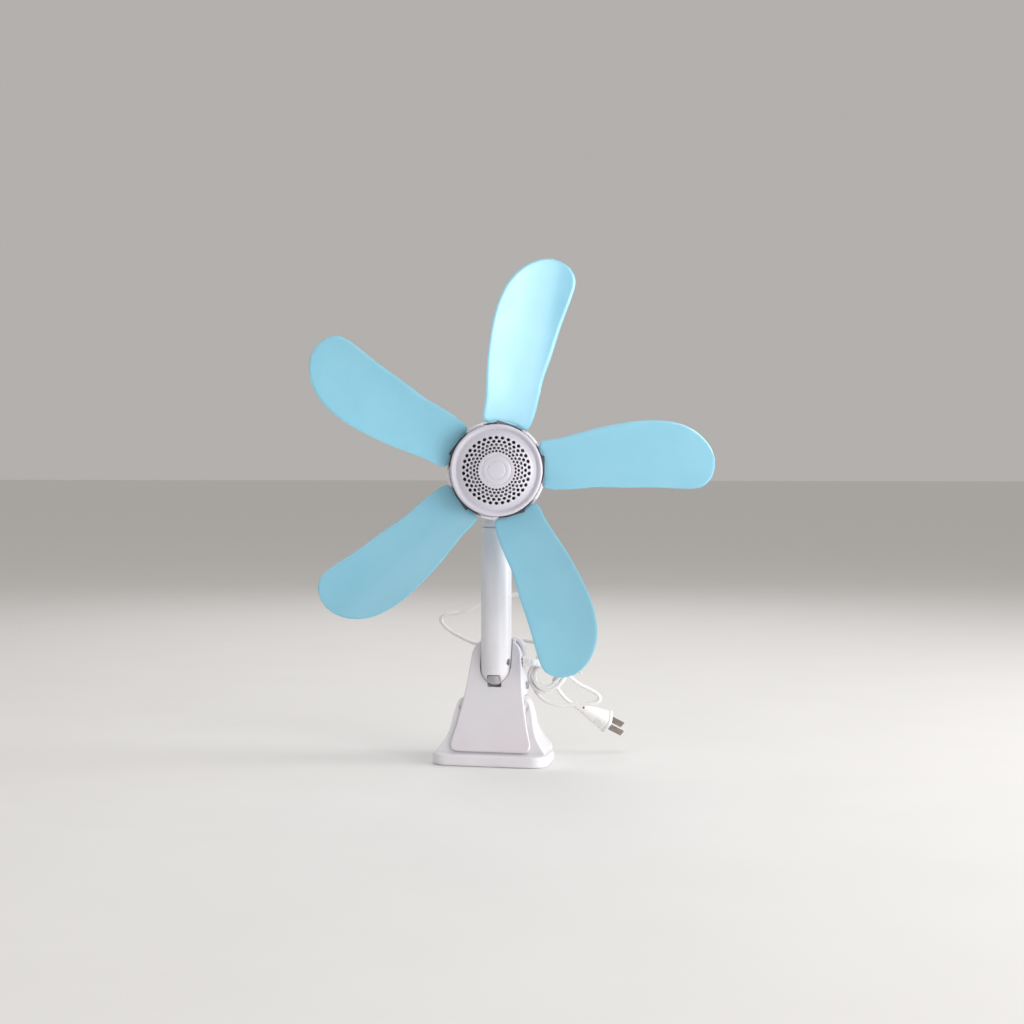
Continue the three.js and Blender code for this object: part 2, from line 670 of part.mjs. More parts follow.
function cordHank() {
  const half = hank.depth / 2;
  const eye = obround(hank.height - 2 * hank.strand, hank.width - 2 * hank.strand);
  return inHank(prismZ(obround(hank.height, hank.width), -half, half, 8).subtract(prismZ(eye, -20, 20, 6)));
}

function cordTie() {
  const band = 1.2;
  const half = [hank.width / 2 + gap, hank.depth / 2 + gap];
  const outer = box(-half[0] - band, half[0] + band, -2, 2, -half[1] - band, half[1] + band);
  return inHank(outer.subtract(box(-half[0], half[0], -3, 3, -half[1], half[1])));
}

const cordExit = [
  [22, glandY, glandZ], [27, glandY, glandZ], [33, 2.6, 95.8], [38.5, 6, 94.8], [41, 11.5, 93],
  [40.4, 17.5, 90], [38, 22.3, 87],
];

// The big loop rises from the hank, passes behind the handle to the left and comes back higher up.
const bigLoop = [
  [43.6, 40.5, 103.4], [42, 41.2, 107.4], [36, 43, 110], [27, 46, 111], [15, 48.8, 112.3], [4, 50.5, 113],
  [-13, 50.2, 110], [-31, 46.5, 107.8], [-41, 42.5, 112], [-50.3, 38.3, 117.2], [-58.6, 34.3, 123],
  [-64.6, 31.8, 129.3], [-66.6, 31.2, 134.2], [-64, 31.8, 137.6], [-58, 34.3, 138.8], [-49, 38.3, 139.9],
  [-40, 41.5, 143.2], [-27, 46.2, 148.9], [-12, 49.5, 154], [4, 50.8, 157.8], [20, 51, 160.8],
  [38, 49, 155], [52, 46, 141], [58, 43, 126], [57, 40.5, 118], [52.5, 39, 112.5],
];
const sideLoop = [
  [60, 39, 84], [66, 39.5, 77], [75, 41, 70], [84, 43, 65.6], [92, 44, 60.8], [96.2, 43.8, 56],
  [92.5, 43, 52.2], [82, 41.5, 50.8], [70, 40, 49.6], [57, 38.8, 48.6], [46, 38.5, 50.6], [37, 38.5, 55.4],
  [31, 37.8, 62.5], [29, 36.2, 70.5],
];
const plugStart = new THREE.Vector3(68, 46.5, 49.5);
const plugAlong = new THREE.Vector3(0.8, 0.375, -0.469).normalize();
const plugRoll = -0.48;
const beforePlug = (distance) => plugStart.clone().addScaledVector(plugAlong, -distance).toArray();
const plugRun = [[48.6, 39.2, 75], [51, 40.8, 68.5], [55.9, 43, 60], beforePlug(6), beforePlug(gap)];

// Flat two-pin plug, its own z running from the cord towards the pins.
const plugLength = 41;
const pinSpacing = 12.7;

function plugBody() {
  const grip = new THREE.Shape();
  const [w, h, r] = [11.8, 9.2, 6];
  grip.moveTo(w, r - h);
  grip.absarc(w - r, h - r, r, 0, Math.PI / 2);
  grip.absarc(r - w, h - r, r, Math.PI / 2, Math.PI);
  grip.absarc(r - w, r - h, r, Math.PI, 1.5 * Math.PI);
  grip.absarc(w - r, r - h, r, 1.5 * Math.PI, 2 * Math.PI);
  const shoulder = new THREE.CylinderGeometry(10.2, 4.2, 23, 16).rotateX(Math.PI / 2).scale(1, 0.8, 1);
  const sleeve = new THREE.CylinderGeometry(4, 3.2, 12, 16).rotateX(Math.PI / 2);
  const seat = cylinderZ(cordRadius + cordEnd, -1, gap, 12);
  return join(
    solid(sleeve.translate(0, 0, 6)), solid(shoulder.translate(0, 0, 20.5)), prismZ(grip, 31, plugLength, 3),
  ).subtract(seat);
}

const plugPin = (x) => box(x - 0.75, x + 0.75, -3.1, 3.1, plugLength + gap, plugLength + 17);

// ---------------------------------------------------------------- assembly

const clip = group([
  piece('front_jaw', frontJaw(), white),
  piece('front_plate', frontPlate(), tinted),
  piece('front_pad', pad(true), rubber),
  piece('tilt_bracket', tiltBracket(), steel),
  piece('tilt_pin', cylinderX(tonguePin, -14.2, 14.2, poleY, tiltHeight, 16), steel),
  piece('jaw_pivot_pin', rivet(2.5, 27.3, 4, 1.2, pivotY, pivotZ), steel),
  piece('jaw_spring', jawSpring(), steel),
  piece('cord_gland', cordGland(), white),
]);
const clampJaw = group([
  piece('rear_jaw', rearJaw(), white),
  piece('rear_pad', pad(false), rubber),
]);

const plugTurn = new THREE.Quaternion()
  .setFromUnitVectors(new THREE.Vector3(0, 0, 1), plugAlong)
  .multiply(new THREE.Quaternion().setFromAxisAngle(new THREE.Vector3(0, 0, 1), plugRoll));
const plug = group([
  piece('plug_body', plugBody(), white),
  piece('plug_pin_upper', plugPin(pinSpacing / 2), brass),
  piece('plug_pin_lower', plugPin(-pinSpacing / 2), brass),
]);
plug.position.copy(plugStart);
plug.quaternion.copy(plugTurn);

const cord = group([
  piece('cord_exit', tube(cordExit, cordRadius, 8, 9), white),
  piece('cord_hank', cordHank(), white),
  piece('cord_tie', cordTie(), white),
  piece('cord_big_loop', tube(bigLoop, cordRadius, 8, 42), white),
  piece('cord_side_loop', tube(sideLoop, cordRadius, 8, 20), white),
  piece('cord_plug_run', tube(plugRun, cordRadius, 8, 5), white),
  plug,
]);

const switchRocker = piece('switch_rocker', rocker(), dark);
switchRocker.position.set(0, rockerPivot, rockerHeight - tiltHeight);
switchRocker.rotation.z = rockerRest;

const poleLead = cylinderZ(1.8, 18.6, poleTop - tiltHeight - 17, 10).translate([0, -4, 0]);
const column = group([
  piece('pole', pole(), white),
  piece('knuckle_core', knuckleCore(), dark),
  piece('core_screw', coreScrew(), steel),
  piece('switch_body', switchBody(), dark),
  piece('pole_lead', poleLead, rubber),
  switchRocker,
], { position: [0, poleY, tiltHeight] });

const blades = bladeAngles.flatMap((angle, i) => {
  const set = group([
    piece(`blade_${i + 1}`, blade(), blue),
    piece(`blade_screw_${i + 1}`, bladeScrew(), steel),
  ]);
  set.rotation.z = THREE.MathUtils.degToRad(angle);
  return set;
});
const motor = group([
  piece('motor_shaft', motorShaft(), steel),
  piece('shaft_nut', shaftNut(), steel),
  piece('stator_core', statorCore(), steel),
  piece('front_winding', winding(4.8, 9.6), copper),
  piece('rear_winding', winding(-9.6, -4.8), copper),
  piece('rear_cover', rearCover(), white),
  piece('front_cover', frontCover(), white),
  piece('rotor_ring', rotorRing(), steel),
  piece('front_bearing', bearing(14, 18.2), brass),
  piece('rear_bearing', bearing(-19.3, -15.3), brass),
  ...blades,
], { position: [0, -hubReach, hubHeight], turn: [Math.PI / 2, 0, 0] });
const head = group([
  piece('neck', neck(), white),
  piece('swivel_washer', swivelWasher(), rubber),
  motor,
], { position: [0, poleY, 0], turn: [0, 0, headTurn] });

const fan = new THREE.Group();
fan.add(clip, clampJaw, cord, column, head);

export default fan;
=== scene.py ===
# Clip-on desk fan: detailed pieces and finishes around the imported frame. The pieces' lengths are written in
# millimetres and turned into metres where a mesh is made. The camera, the floor and the lights are in metres.

import math
import bmesh
import bpy
from mathutils import Matrix, Vector


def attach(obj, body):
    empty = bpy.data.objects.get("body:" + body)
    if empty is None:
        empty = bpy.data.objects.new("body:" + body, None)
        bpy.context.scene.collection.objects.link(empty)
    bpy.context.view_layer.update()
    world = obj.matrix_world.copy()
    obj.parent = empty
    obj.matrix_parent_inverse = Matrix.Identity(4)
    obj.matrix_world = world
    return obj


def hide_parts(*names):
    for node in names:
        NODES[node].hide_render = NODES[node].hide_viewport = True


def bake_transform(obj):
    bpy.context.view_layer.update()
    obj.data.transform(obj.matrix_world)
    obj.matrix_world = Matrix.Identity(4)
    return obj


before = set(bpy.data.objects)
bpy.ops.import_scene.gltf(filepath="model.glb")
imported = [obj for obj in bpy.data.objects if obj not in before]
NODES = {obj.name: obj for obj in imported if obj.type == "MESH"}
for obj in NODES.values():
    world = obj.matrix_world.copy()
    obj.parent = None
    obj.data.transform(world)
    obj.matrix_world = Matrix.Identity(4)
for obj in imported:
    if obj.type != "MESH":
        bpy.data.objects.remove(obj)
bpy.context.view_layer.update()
MM = 0.001

# ---------------------------------------------------------------- the shared dimensions, as in the CAD

HUB_HEIGHT = 285
HUB_REACH = 50
HEAD_TURN = math.radians(12)
POLE_Y = -8
POLE_RADIUS = 15
POLE_BORE = 12.2
POLE_TOP = 229
TILT_HEIGHT = 88
HUB_RADIUS = 43.8
POT_RADIUS = 47.3
CORD_RADIUS = 2

# The rotor's own frame: x right, y up, z towards the front, with the blade plane at zero.
MOTOR = (
    Matrix.Translation((0, POLE_Y, 0))
    @ Matrix.Rotation(HEAD_TURN, 4, "Z")
    @ Matrix.Translation((0, -HUB_REACH, HUB_HEIGHT))
    @ Matrix.Rotation(math.pi / 2, 4, "X")
)

# ---------------------------------------------------------------- camera

CAMERA_TURN = math.radians(12)
CAMERA_AWAY = 1.6
CAMERA_HEIGHT = 0.286
CAMERA_LENS = 58.9             # millimetres
CAMERA_SHIFT = (0.0153, -0.0417)
hub = MOTOR @ Vector((0, 0, 0)) * MM
eye = hub + Vector((math.sin(CAMERA_TURN), -math.cos(CAMERA_TURN), 0)) * CAMERA_AWAY
camera_data = bpy.data.cameras.new("camera")
camera_data.sensor_width = 36
camera_data.lens = CAMERA_LENS
camera_data.shift_x, camera_data.shift_y = CAMERA_SHIFT
camera_data.clip_start = 0.05
camera = bpy.data.objects.new("camera", camera_data)
camera.location = (eye.x, eye.y, CAMERA_HEIGHT)
camera.rotation_euler = (math.pi / 2, 0, CAMERA_TURN)
bpy.context.collection.objects.link(camera)
bpy.context.scene.camera = camera

# ---------------------------------------------------------------- mesh helpers


def mesh_piece(name, verts, faces, place=None):
    """A new object from millimetre points, with outward faces and smooth shading."""
    data = bpy.data.meshes.new(name)
    turn = place or Matrix.Identity(4)
    data.from_pydata([tuple((turn @ Vector(v)) * MM) for v in verts], [], faces)
    built = bmesh.new()
    built.from_mesh(data)
    bmesh.ops.remove_doubles(built, verts=built.verts, dist=1e-7)
    bmesh.ops.recalc_face_normals(built, faces=built.faces)
    built.to_mesh(data)
    built.free()
    data.shade_smooth()
    piece = bpy.data.objects.new(name, data)
    bpy.context.collection.objects.link(piece)
    return piece


def copy_of(node, name):
    """A node's own mesh as a new object, to be worked on."""
    piece = bpy.data.objects.new(name, NODES[node].data.copy())
    bpy.context.collection.objects.link(piece)
    return piece


def applied(piece):
    """The piece with its modifiers made permanent."""
    bpy.context.view_layer.update()
    graph = bpy.context.evaluated_depsgraph_get()
    data = bpy.data.meshes.new_from_object(piece.evaluated_get(graph), depsgraph=graph)
    piece.modifiers.clear()
    piece.data = data
    return piece


def cut(piece, *cutters):
    """The piece with the cutters taken out of it, and the cutters gone."""
    for cutter in cutters:
        change = piece.modifiers.new("cut", "BOOLEAN")
        change.object = cutter
        change.operation = "DIFFERENCE"
        change.solver = "EXACT"
    applied(piece)
    for cutter in cutters:
        bpy.data.objects.remove(cutter)
    return piece


def softened(piece, voxel, rounds):
    """Even small faces with every sharp edge rounded off, as a moulding has."""
    grid = piece.modifiers.new("grid", "REMESH")
    grid.mode = "VOXEL"
    grid.voxel_size = voxel * MM
    grid.use_smooth_shade = True
    ease = piece.modifiers.new("ease", "SMOOTH")
    ease.factor = 0.5
    ease.iterations = rounds
    return applied(piece)


def eased(piece, width, segments=3, angle=40):
    """A small round on the piece's sharp edges."""
    round_off = piece.modifiers.new("round_off", "BEVEL")
    round_off.width = width * MM
    round_off.segments = segments
    round_off.limit_method = "ANGLE"
    round_off.angle_limit = math.radians(angle)
    round_off.harden_normals = True
    return piece


def fillet(points, radius, steps):
    """A closed polyline with its corners rounded."""
    made = []
    count = len(points)
    for i, corner in enumerate(points):
        here = Vector(corner)
        before, after = Vector(points[i - 1]), Vector(points[(i + 1) % count])
        reach = min(radius, (before - here).length * 0.45, (after - here).length * 0.45)
        start = here + (before - here).normalized() * reach
        end = here + (after - here).normalized() * reach
        for k in range(steps + 1):
            t = k / steps
            made.append(tuple(start * (1 - t) ** 2 + here * 2 * t * (1 - t) + end * t * t))
    return made


def lathe(name, outline, sides, place=None):
    """A closed (radius, height) outline turned about +Z."""
    verts, faces = [], []
    count = len(outline)
    for i in range(sides):
        angle = 2 * math.pi * i / sides
        verts += [(r * math.cos(angle), r * math.sin(angle), z) for r, z in outline]
    for i in range(sides):
        near, far = i * count, (i + 1) % sides * count
        for j in range(count):
            k = (j + 1) % count
            faces.append((near + j, far + j, far + k, near + k))
    return clean(mesh_piece(name, verts, faces, place))


def clean(piece):
    """The piece without the slivers that a point on the axis leaves."""
    built = bmesh.new()
    built.from_mesh(piece.data)
    bmesh.ops.dissolve_degenerate(built, edges=built.edges, dist=1e-7)
    built.to_mesh(piece.data)
    built.free()
    return piece


def loft(name, rings, place=None):
    """Rings of equally many points joined one to the next and closed with a fan at both ends."""
    sides = len(rings[0])
    verts = [v for ring in rings for v in ring]
    faces = []
    for i in range(len(rings) - 1):
        for j in range(sides):
            k = (j + 1) % sides
            faces.append((i * sides + j, i * sides + k, (i + 1) * sides + k, (i + 1) * sides + j))
    for ring, start in ((rings[0], 0), (rings[-1], (len(rings) - 1) * sides)):
        verts.append(tuple(sum((Vector(v) for v in ring), Vector()) / sides))
        middle = len(verts) - 1
        faces += [(start + j, start + (j + 1) % sides, middle) for j in range(sides)]
    return mesh_piece(name, verts, faces, place)


def spline(points, count):
    """A uniform Catmull-Rom curve through the points."""
    at = [Vector(p) for p in points]
    made = []
    for i in range(count + 1):
        along = (len(at) - 1) * i / count
        k = min(int(along), len(at) - 2)
        t = along - k
        p0, p1, p2, p3 = at[max(k - 1, 0)], at[k], at[k + 1], at[min(k + 2, len(at) - 1)]
        v0, v1 = (p2 - p0) * 0.5, (p3 - p1) * 0.5
        made.append(
            (p1 * 2 - p2 * 2 + v0 + v1) * t ** 3 + (p2 * 3 - p1 * 3 - v0 * 2 - v1) * t * t + v0 * t + p1
        )
    return made


def sweep(name, path, radii, sides, place=None):
    """A round section of changing radius pushed along the path without twisting."""
    rings = []
    across = None
    for i, here in enumerate(path):
        ahead = (path[min(i + 1, len(path) - 1)] - path[max(i - 1, 0)]).normalized()
        if across is None:
            across = ahead.orthogonal().normalized()
        across = (across - ahead * across.dot(ahead)).normalized()
        other = ahead.cross(across)
        rings.append([
            tuple(here + (across * math.cos(a) + other * math.sin(a)) * radii[i])
            for a in (2 * math.pi * j / sides for j in range(sides))
        ])
    return loft(name, rings, place)


def box_piece(name, low, high, place=None):
    """A cutter with square corners."""
    verts = [(x, y, z) for x in (low[0], high[0]) for y in (low[1], high[1]) for z in (low[2], high[2])]
    faces = [(0, 1, 3, 2), (4, 6, 7, 5), (0, 4, 5, 1), (2, 3, 7, 6), (0, 2, 6, 4), (1, 5, 7, 3)]
    return mesh_piece(name, verts, faces, place)


def rod(name, radius, start, end, sides=48):
    """A round cutter or pin between two points."""
    return sweep(name, [Vector(start), Vector(end)], [radius, radius], sides)


# ---------------------------------------------------------------- finishes


def new_material(name):
    """A material with its nodes, links, shader and object coordinates."""
    made = bpy.data.materials.new(name)
    made.use_nodes = True
    nodes, links = made.node_tree.nodes, made.node_tree.links
    shader = nodes["Principled BSDF"]
    coords = nodes.new("ShaderNodeTexCoord")
    return made, nodes, links, shader, coords.outputs["Object"]


def noise_at(nodes, links, where, scale, detail=3, stretch=None):
    """A noise value over the piece, longer along the axes that the stretch makes small."""
    texture = nodes.new("ShaderNodeTexNoise")
    texture.inputs["Scale"].default_value = scale
    texture.inputs["Detail"].default_value = detail
    if stretch:
        mapping = nodes.new("ShaderNodeMapping")
        mapping.inputs["Scale"].default_value = stretch
        links.new(where, mapping.inputs["Vector"])
        where = mapping.outputs["Vector"]
    links.new(where, texture.inputs["Vector"])
    return texture.outputs["Fac"]


def ranged(nodes, links, value, low, high, start=0.35, end=0.65):
    """The value, between the start and the end, spread from low to high."""
    spread = nodes.new("ShaderNodeMapRange")
    spread.inputs["From Min"].default_value = start
    spread.inputs["From Max"].default_value = end
    spread.inputs["To Min"].default_value = low
    spread.inputs["To Max"].default_value = high
    links.new(value, spread.inputs["Value"])
    return spread.outputs["Result"]


def mixed(nodes, links, factor, first, second):
    """A colour between two, each a linked output or a constant."""
    mix = nodes.new("ShaderNodeMix")
    mix.data_type = "RGBA"
    links.new(factor, mix.inputs["Factor"])
    for socket, value in ((mix.inputs["A"], first), (mix.inputs["B"], second)):
        if isinstance(value, tuple):
            socket.default_value = (*value, 1)
        else:
            links.new(value, socket)
    return mix.outputs["Result"]


def bumped(nodes, links, shader, layers):
    """Stacked bumps, each a (height, strength, distance in millimetres)."""
    below = None
    for height, strength, distance in layers:
        bump = nodes.new("ShaderNodeBump")
        bump.inputs["Strength"].default_value = strength
        bump.inputs["Distance"].default_value = distance * MM
        links.new(height, bump.inputs["Height"])
        if below:
            links.new(below, bump.inputs["Normal"])
        below = bump.outputs["Normal"]
    links.new(below, shader.inputs["Normal"])


def plastic(name, colour, shade, speck_and_shade, rough, grain=(1500, 0.10), coat=0.0, scatter=0.0, wave=0.35):
    """Moulded plastic: faint cloudiness, a fine skin, slow waviness, faint dark specks, and painted shade in
    the hollows.
    """
    made, nodes, links, shader, where = new_material(name)
    cloud = ranged(nodes, links, noise_at(nodes, links, where, 22, 4), 0, 1)
    speck = ranged(nodes, links, noise_at(nodes, links, where, 420, 2), 0, 1, 0.66, 0.74)
    edge = nodes.new("ShaderNodeNewGeometry").outputs["Pointiness"]
    # Painted shade: hollow places, found from the pointiness, are mixed up to 80% towards the third colour.
    hollow = ranged(nodes, links, edge, 0.8, 0, 0.42, 0.495)
    body = mixed(nodes, links, cloud, colour, shade)
    body = mixed(nodes, links, hollow, body, speck_and_shade)
    faint = nodes.new("ShaderNodeMath")
    faint.operation = "MULTIPLY"
    faint.inputs[1].default_value = 0.12
    links.new(speck, faint.inputs[0])
    body = mixed(nodes, links, faint.outputs["Value"], body, speck_and_shade)
    links.new(body, shader.inputs["Base Color"])
    handled = noise_at(nodes, links, where, 60, 5)
    links.new(ranged(nodes, links, handled, rough * 0.82, rough * 1.22), shader.inputs["Roughness"])
    shader.inputs["IOR"].default_value = 1.5
    shader.inputs["Coat Weight"].default_value = coat
    shader.inputs["Coat Roughness"].default_value = 0.12
    shader.inputs["Subsurface Weight"].default_value = scatter
    shader.inputs["Subsurface Radius"].default_value = (0.004, 0.004, 0.004)
    bumped(nodes, links, shader, (
        (noise_at(nodes, links, where, 30, 2), 0.25, wave),
        (noise_at(nodes, links, where, grain[0], 2), grain[1], 0.05),
    ))
    return made


def metal(name, colour, shade, rough, stretch=(40, 40, 900), brushed=0.18):
    """Worked metal: drawn lines one way, with darker patches."""
    made, nodes, links, shader, where = new_material(name)
    lines = noise_at(nodes, links, where, 1, 3, stretch)
    patch = ranged(nodes, links, noise_at(nodes, links, where, 90, 4), 0, 1)
    links.new(mixed(nodes, links, patch, colour, shade), shader.inputs["Base Color"])
    links.new(ranged(nodes, links, lines, rough * 0.75, rough * 1.3), shader.inputs["Roughness"])
    shader.inputs["Metallic"].default_value = 1
    bumped(nodes, links, shader, ((lines, brushed, 0.05),))
    return made


def rubber(name, colour, shade, rough):
    """Matt rubber or soft vinyl with a dusty bloom and a close grain."""
    made, nodes, links, shader, where = new_material(name)
    bloom = ranged(nodes, links, noise_at(nodes, links, where, 45, 5), 0, 1)
    links.new(mixed(nodes, links, bloom, colour, shade), shader.inputs["Base Color"])
    grain = noise_at(nodes, links, where, 900, 3)
    links.new(ranged(nodes, links, grain, rough * 0.9, rough * 1.08), shader.inputs["Roughness"])
    bumped(nodes, links, shader, ((grain, 0.3, 0.08),))
    return made


# The third colour of each plastic is used for its faint specks and for the shade painted into its hollows.
WHITE = plastic("white_moulding", (0.78, 0.765, 0.80), (0.73, 0.715, 0.755), (0.48, 0.455, 0.50), 0.34,
                coat=0.15, scatter=0.08)
HUB_WHITE = plastic("hub_moulding", (0.66, 0.645, 0.72), (0.61, 0.595, 0.67), (0.36, 0.35, 0.42), 0.38,
                    coat=0.1, scatter=0.06)
TINTED = plastic("plate_moulding", (0.745, 0.725, 0.765), (0.735, 0.685, 0.73), (0.50, 0.42, 0.46), 0.36,
                 coat=0.12, scatter=0.08)
BLADE = plastic("blade_moulding", (0.28, 0.61, 0.765), (0.26, 0.585, 0.745), (0.17, 0.43, 0.575), 0.22,
                grain=(900, 0.05), coat=0.35, scatter=0.10, wave=0.9)
# Dark plastic for the switch body and knuckle core, also used as painted shade on the blade tabs, inside the
# rear cover and in the plug's dimple.
DARK_AND_SHADE = plastic("dark_moulding_and_painted_shade", (0.10, 0.10, 0.115), (0.075, 0.075, 0.085), (0.03, 0.03, 0.035), 0.42)
ROCKER = plastic("rocker_moulding", (0.37, 0.37, 0.385), (0.33, 0.33, 0.345), (0.16, 0.16, 0.17), 0.36)
CORD = plastic("cord_vinyl", (0.82, 0.81, 0.80), (0.78, 0.765, 0.75), (0.55, 0.52, 0.50), 0.40,
               grain=(1100, 0.2), coat=0.08, scatter=0.10, wave=0.15)
RUBBER = rubber("pad_rubber_finish", (0.20, 0.205, 0.215), (0.28, 0.285, 0.295), 0.78)
SLEEVE = rubber("washer_rubber_finish", (0.09, 0.09, 0.095), (0.15, 0.15, 0.155), 0.7)
STEEL = metal("bright_steel", (0.62, 0.62, 0.63), (0.45, 0.45, 0.46), 0.30)
LAMINATED = metal("stacked_steel", (0.42, 0.43, 0.45), (0.30, 0.30, 0.31), 0.42, (30, 2600, 30), 0.5)
COPPER = metal("enamelled_wire", (0.72, 0.32, 0.13), (0.50, 0.20, 0.07), 0.30, (60, 2200, 60), 0.8)
BRASS = metal("plated_brass", (0.42, 0.38, 0.335), (0.34, 0.30, 0.27), 0.34)
BRONZE = metal("bush_bronze", (0.55, 0.38, 0.20), (0.42, 0.28, 0.14), 0.35)


def finish(piece, material):
    """The material over the whole piece."""
    if not piece.material_slots:
        piece.data.materials.append(material)
    for slot in piece.material_slots:
        slot.link = "OBJECT"
        slot.material = material
    return piece


def stands_for(piece, body, slot, material, *nodes):
    """The finished piece on its body, in place of the nodes; the slot is not used."""
    finish(piece, material)
    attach(piece, body)
    if nodes:
        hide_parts(*nodes)
    return piece


def second_finish(piece, material, faces):
    """Another material on the faces with these numbers."""
    piece.data.materials.append(material)
    piece.material_slots[-1].link = "OBJECT"
    piece.material_slots[-1].material = material
    for number in faces:
        piece.data.polygons[number].material_index = len(piece.data.materials) - 1


# ---------------------------------------------------------------- cord

CORD_EXIT = [(22, 2, 96), (27, 2, 96), (33, 2.6, 95.8), (38.5, 6, 94.8), (41, 11.5, 93), (40.4, 17.5, 90),
             (38, 22.3, 87)]
BIG_LOOP = [
    (43.6, 40.5, 103.4), (42, 41.2, 107.4), (36, 43, 110), (27, 46, 111), (15, 48.8, 112.3), (4, 50.5, 113),
    (-13, 50.2, 110), (-31, 46.5, 107.8), (-41, 42.5, 112), (-50.3, 38.3, 117.2), (-58.6, 34.3, 123),
    (-64.6, 31.8, 129.3), (-66.6, 31.2, 134.2), (-64, 31.8, 137.6), (-58, 34.3, 138.8), (-49, 38.3, 139.9),
    (-40, 41.5, 143.2), (-27, 46.2, 148.9), (-12, 49.5, 154), (4, 50.8, 157.8), (20, 51, 160.8),
    (38, 49, 155), (52, 46, 141), (58, 43, 126), (57, 40.5, 118), (52.5, 39, 112.5),
]
SIDE_LOOP = [
    (60, 39, 84), (66, 39.5, 77), (75, 41, 70), (84, 43, 65.6), (92, 44, 60.8), (96.2, 43.8, 56),
    (92.5, 43, 52.2), (82, 41.5, 50.8), (70, 40, 49.6), (57, 38.8, 48.6), (46, 38.5, 50.6), (37, 38.5, 55.4),
    (31, 37.8, 62.5), (29, 36.2, 70.5),
]
PLUG_START = Vector((68, 46.5, 49.5))
PLUG_ALONG = Vector((0.8, 0.375, -0.469)).normalized()
PLUG_ROLL = -0.48
PLUG_RUN = [
    (48.6, 39.2, 75), (51, 40.8, 68.5), (55.9, 43, 60), tuple(PLUG_START - PLUG_ALONG * 6),
    tuple(PLUG_START + PLUG_ALONG * 1),
]

HANK_AT = (53, 30, 95)
HANK_LEAN = math.radians(32)
HANK_REACH = 17                # from the hank's middle to the centre of each fold


def in_hank(across, along, depth):
    """A row-frame point from the hank's own width and height and the row's y."""
    c, s = math.cos(HANK_LEAN), math.sin(HANK_LEAN)
    return (HANK_AT[0] + c * across + s * along, depth, HANK_AT[2] - s * across + c * along)


def fold(end, first, last, bulge=0.0, steps=4):
    """The points of a fold, between the (radius, depth) of the run before it and of the run after it."""
    made = []
    for k in range(1, steps + 1):
        t = k / (steps + 1)
        radius = first[0] + (last[0] - first[0]) * t + bulge * math.sin(math.pi * t)
        angle = math.pi * (t if end > 0 else 1 + t)
        depth = first[1] + (last[1] - first[1]) * t
        made.append(in_hank(radius * math.cos(angle), end * HANK_REACH + radius * math.sin(angle), depth))
    return made


def run(side, at, marks=(1, 0, -1)):
    """The points of a straight run, downwards on the left and upwards on the right."""
    way = 1 if side < 0 else -1
    return [in_hank(side * at[0], way * HANK_REACH * 0.92 * m, at[1]) for m in marks]


OUTER, INNER = 16.2, 12.2               # half widths of the hank's turns
FRONT, MIDDLE, BACK = 25.7, 30.0, 34.3  # depths of its three layers
CORD_STEP = 2.2                         # between the points of the cord's line
SMOOTHING_ROUNDS = 3


def cord_route():
    """From the clip into the hank, out along each loose loop and back, and away to the plug."""
    route = list(CORD_EXIT[:-1])
    start = (INNER, FRONT)
    route += [in_hank(-10.4, -14, 22.8), in_hank(-11.0, -20.5, 25.0)]
    route += fold(-1, start, start)[1:]
    first = [(1, start), (-1, start), (1, (OUTER, FRONT)), (-1, (OUTER, FRONT)), (1, (INNER, BACK))]
    route += turns(first[:-1])
    route += fold(-1, first[-2][1], first[-1][1], bulge=4.5)
    route += [in_hank(INNER, -14, BACK + 0.6), in_hank(8.6, -4, 37.6), in_hank(-3.5, 5.5, 39.2)]
    route += BIG_LOOP[::-1]
    route += [in_hank(-11.6, -4, 37.6), in_hank(-INNER, -14, BACK + 0.4)]
    second = [(1, (OUTER, BACK)), (-1, (OUTER, BACK))]
    route += fold(-1, (INNER, BACK), second[0][1])
    route += run(1, second[0][1])
    route += fold(1, second[0][1], second[1][1])
    route += [in_hank(-OUTER, 13, BACK + 1), in_hank(-12.5, 2, 38.4), in_hank(-3.0, -4.2, 41.2)]
    route += SIDE_LOOP
    third = [(1, (INNER, MIDDLE)), (-1, (INNER, MIDDLE)), (1, (OUTER, MIDDLE)), (-1, (OUTER, MIDDLE))]
    route += turns(third)[::-1][1:-2]
    route += [in_hank(INNER - 0.4, -6, 34.5), in_hank(INNER - 1, -12.5, 37.6)]
    route += PLUG_RUN
    return route


def turns(slots):
    """Whole runs at the given (side, (radius, depth)), with a fold between each and the next."""
    made = []
    for k, (side, at) in enumerate(slots):
        made += run(side, at)
        if k + 1 < len(slots):
            made += fold(side, at, slots[k + 1][1])
    return made


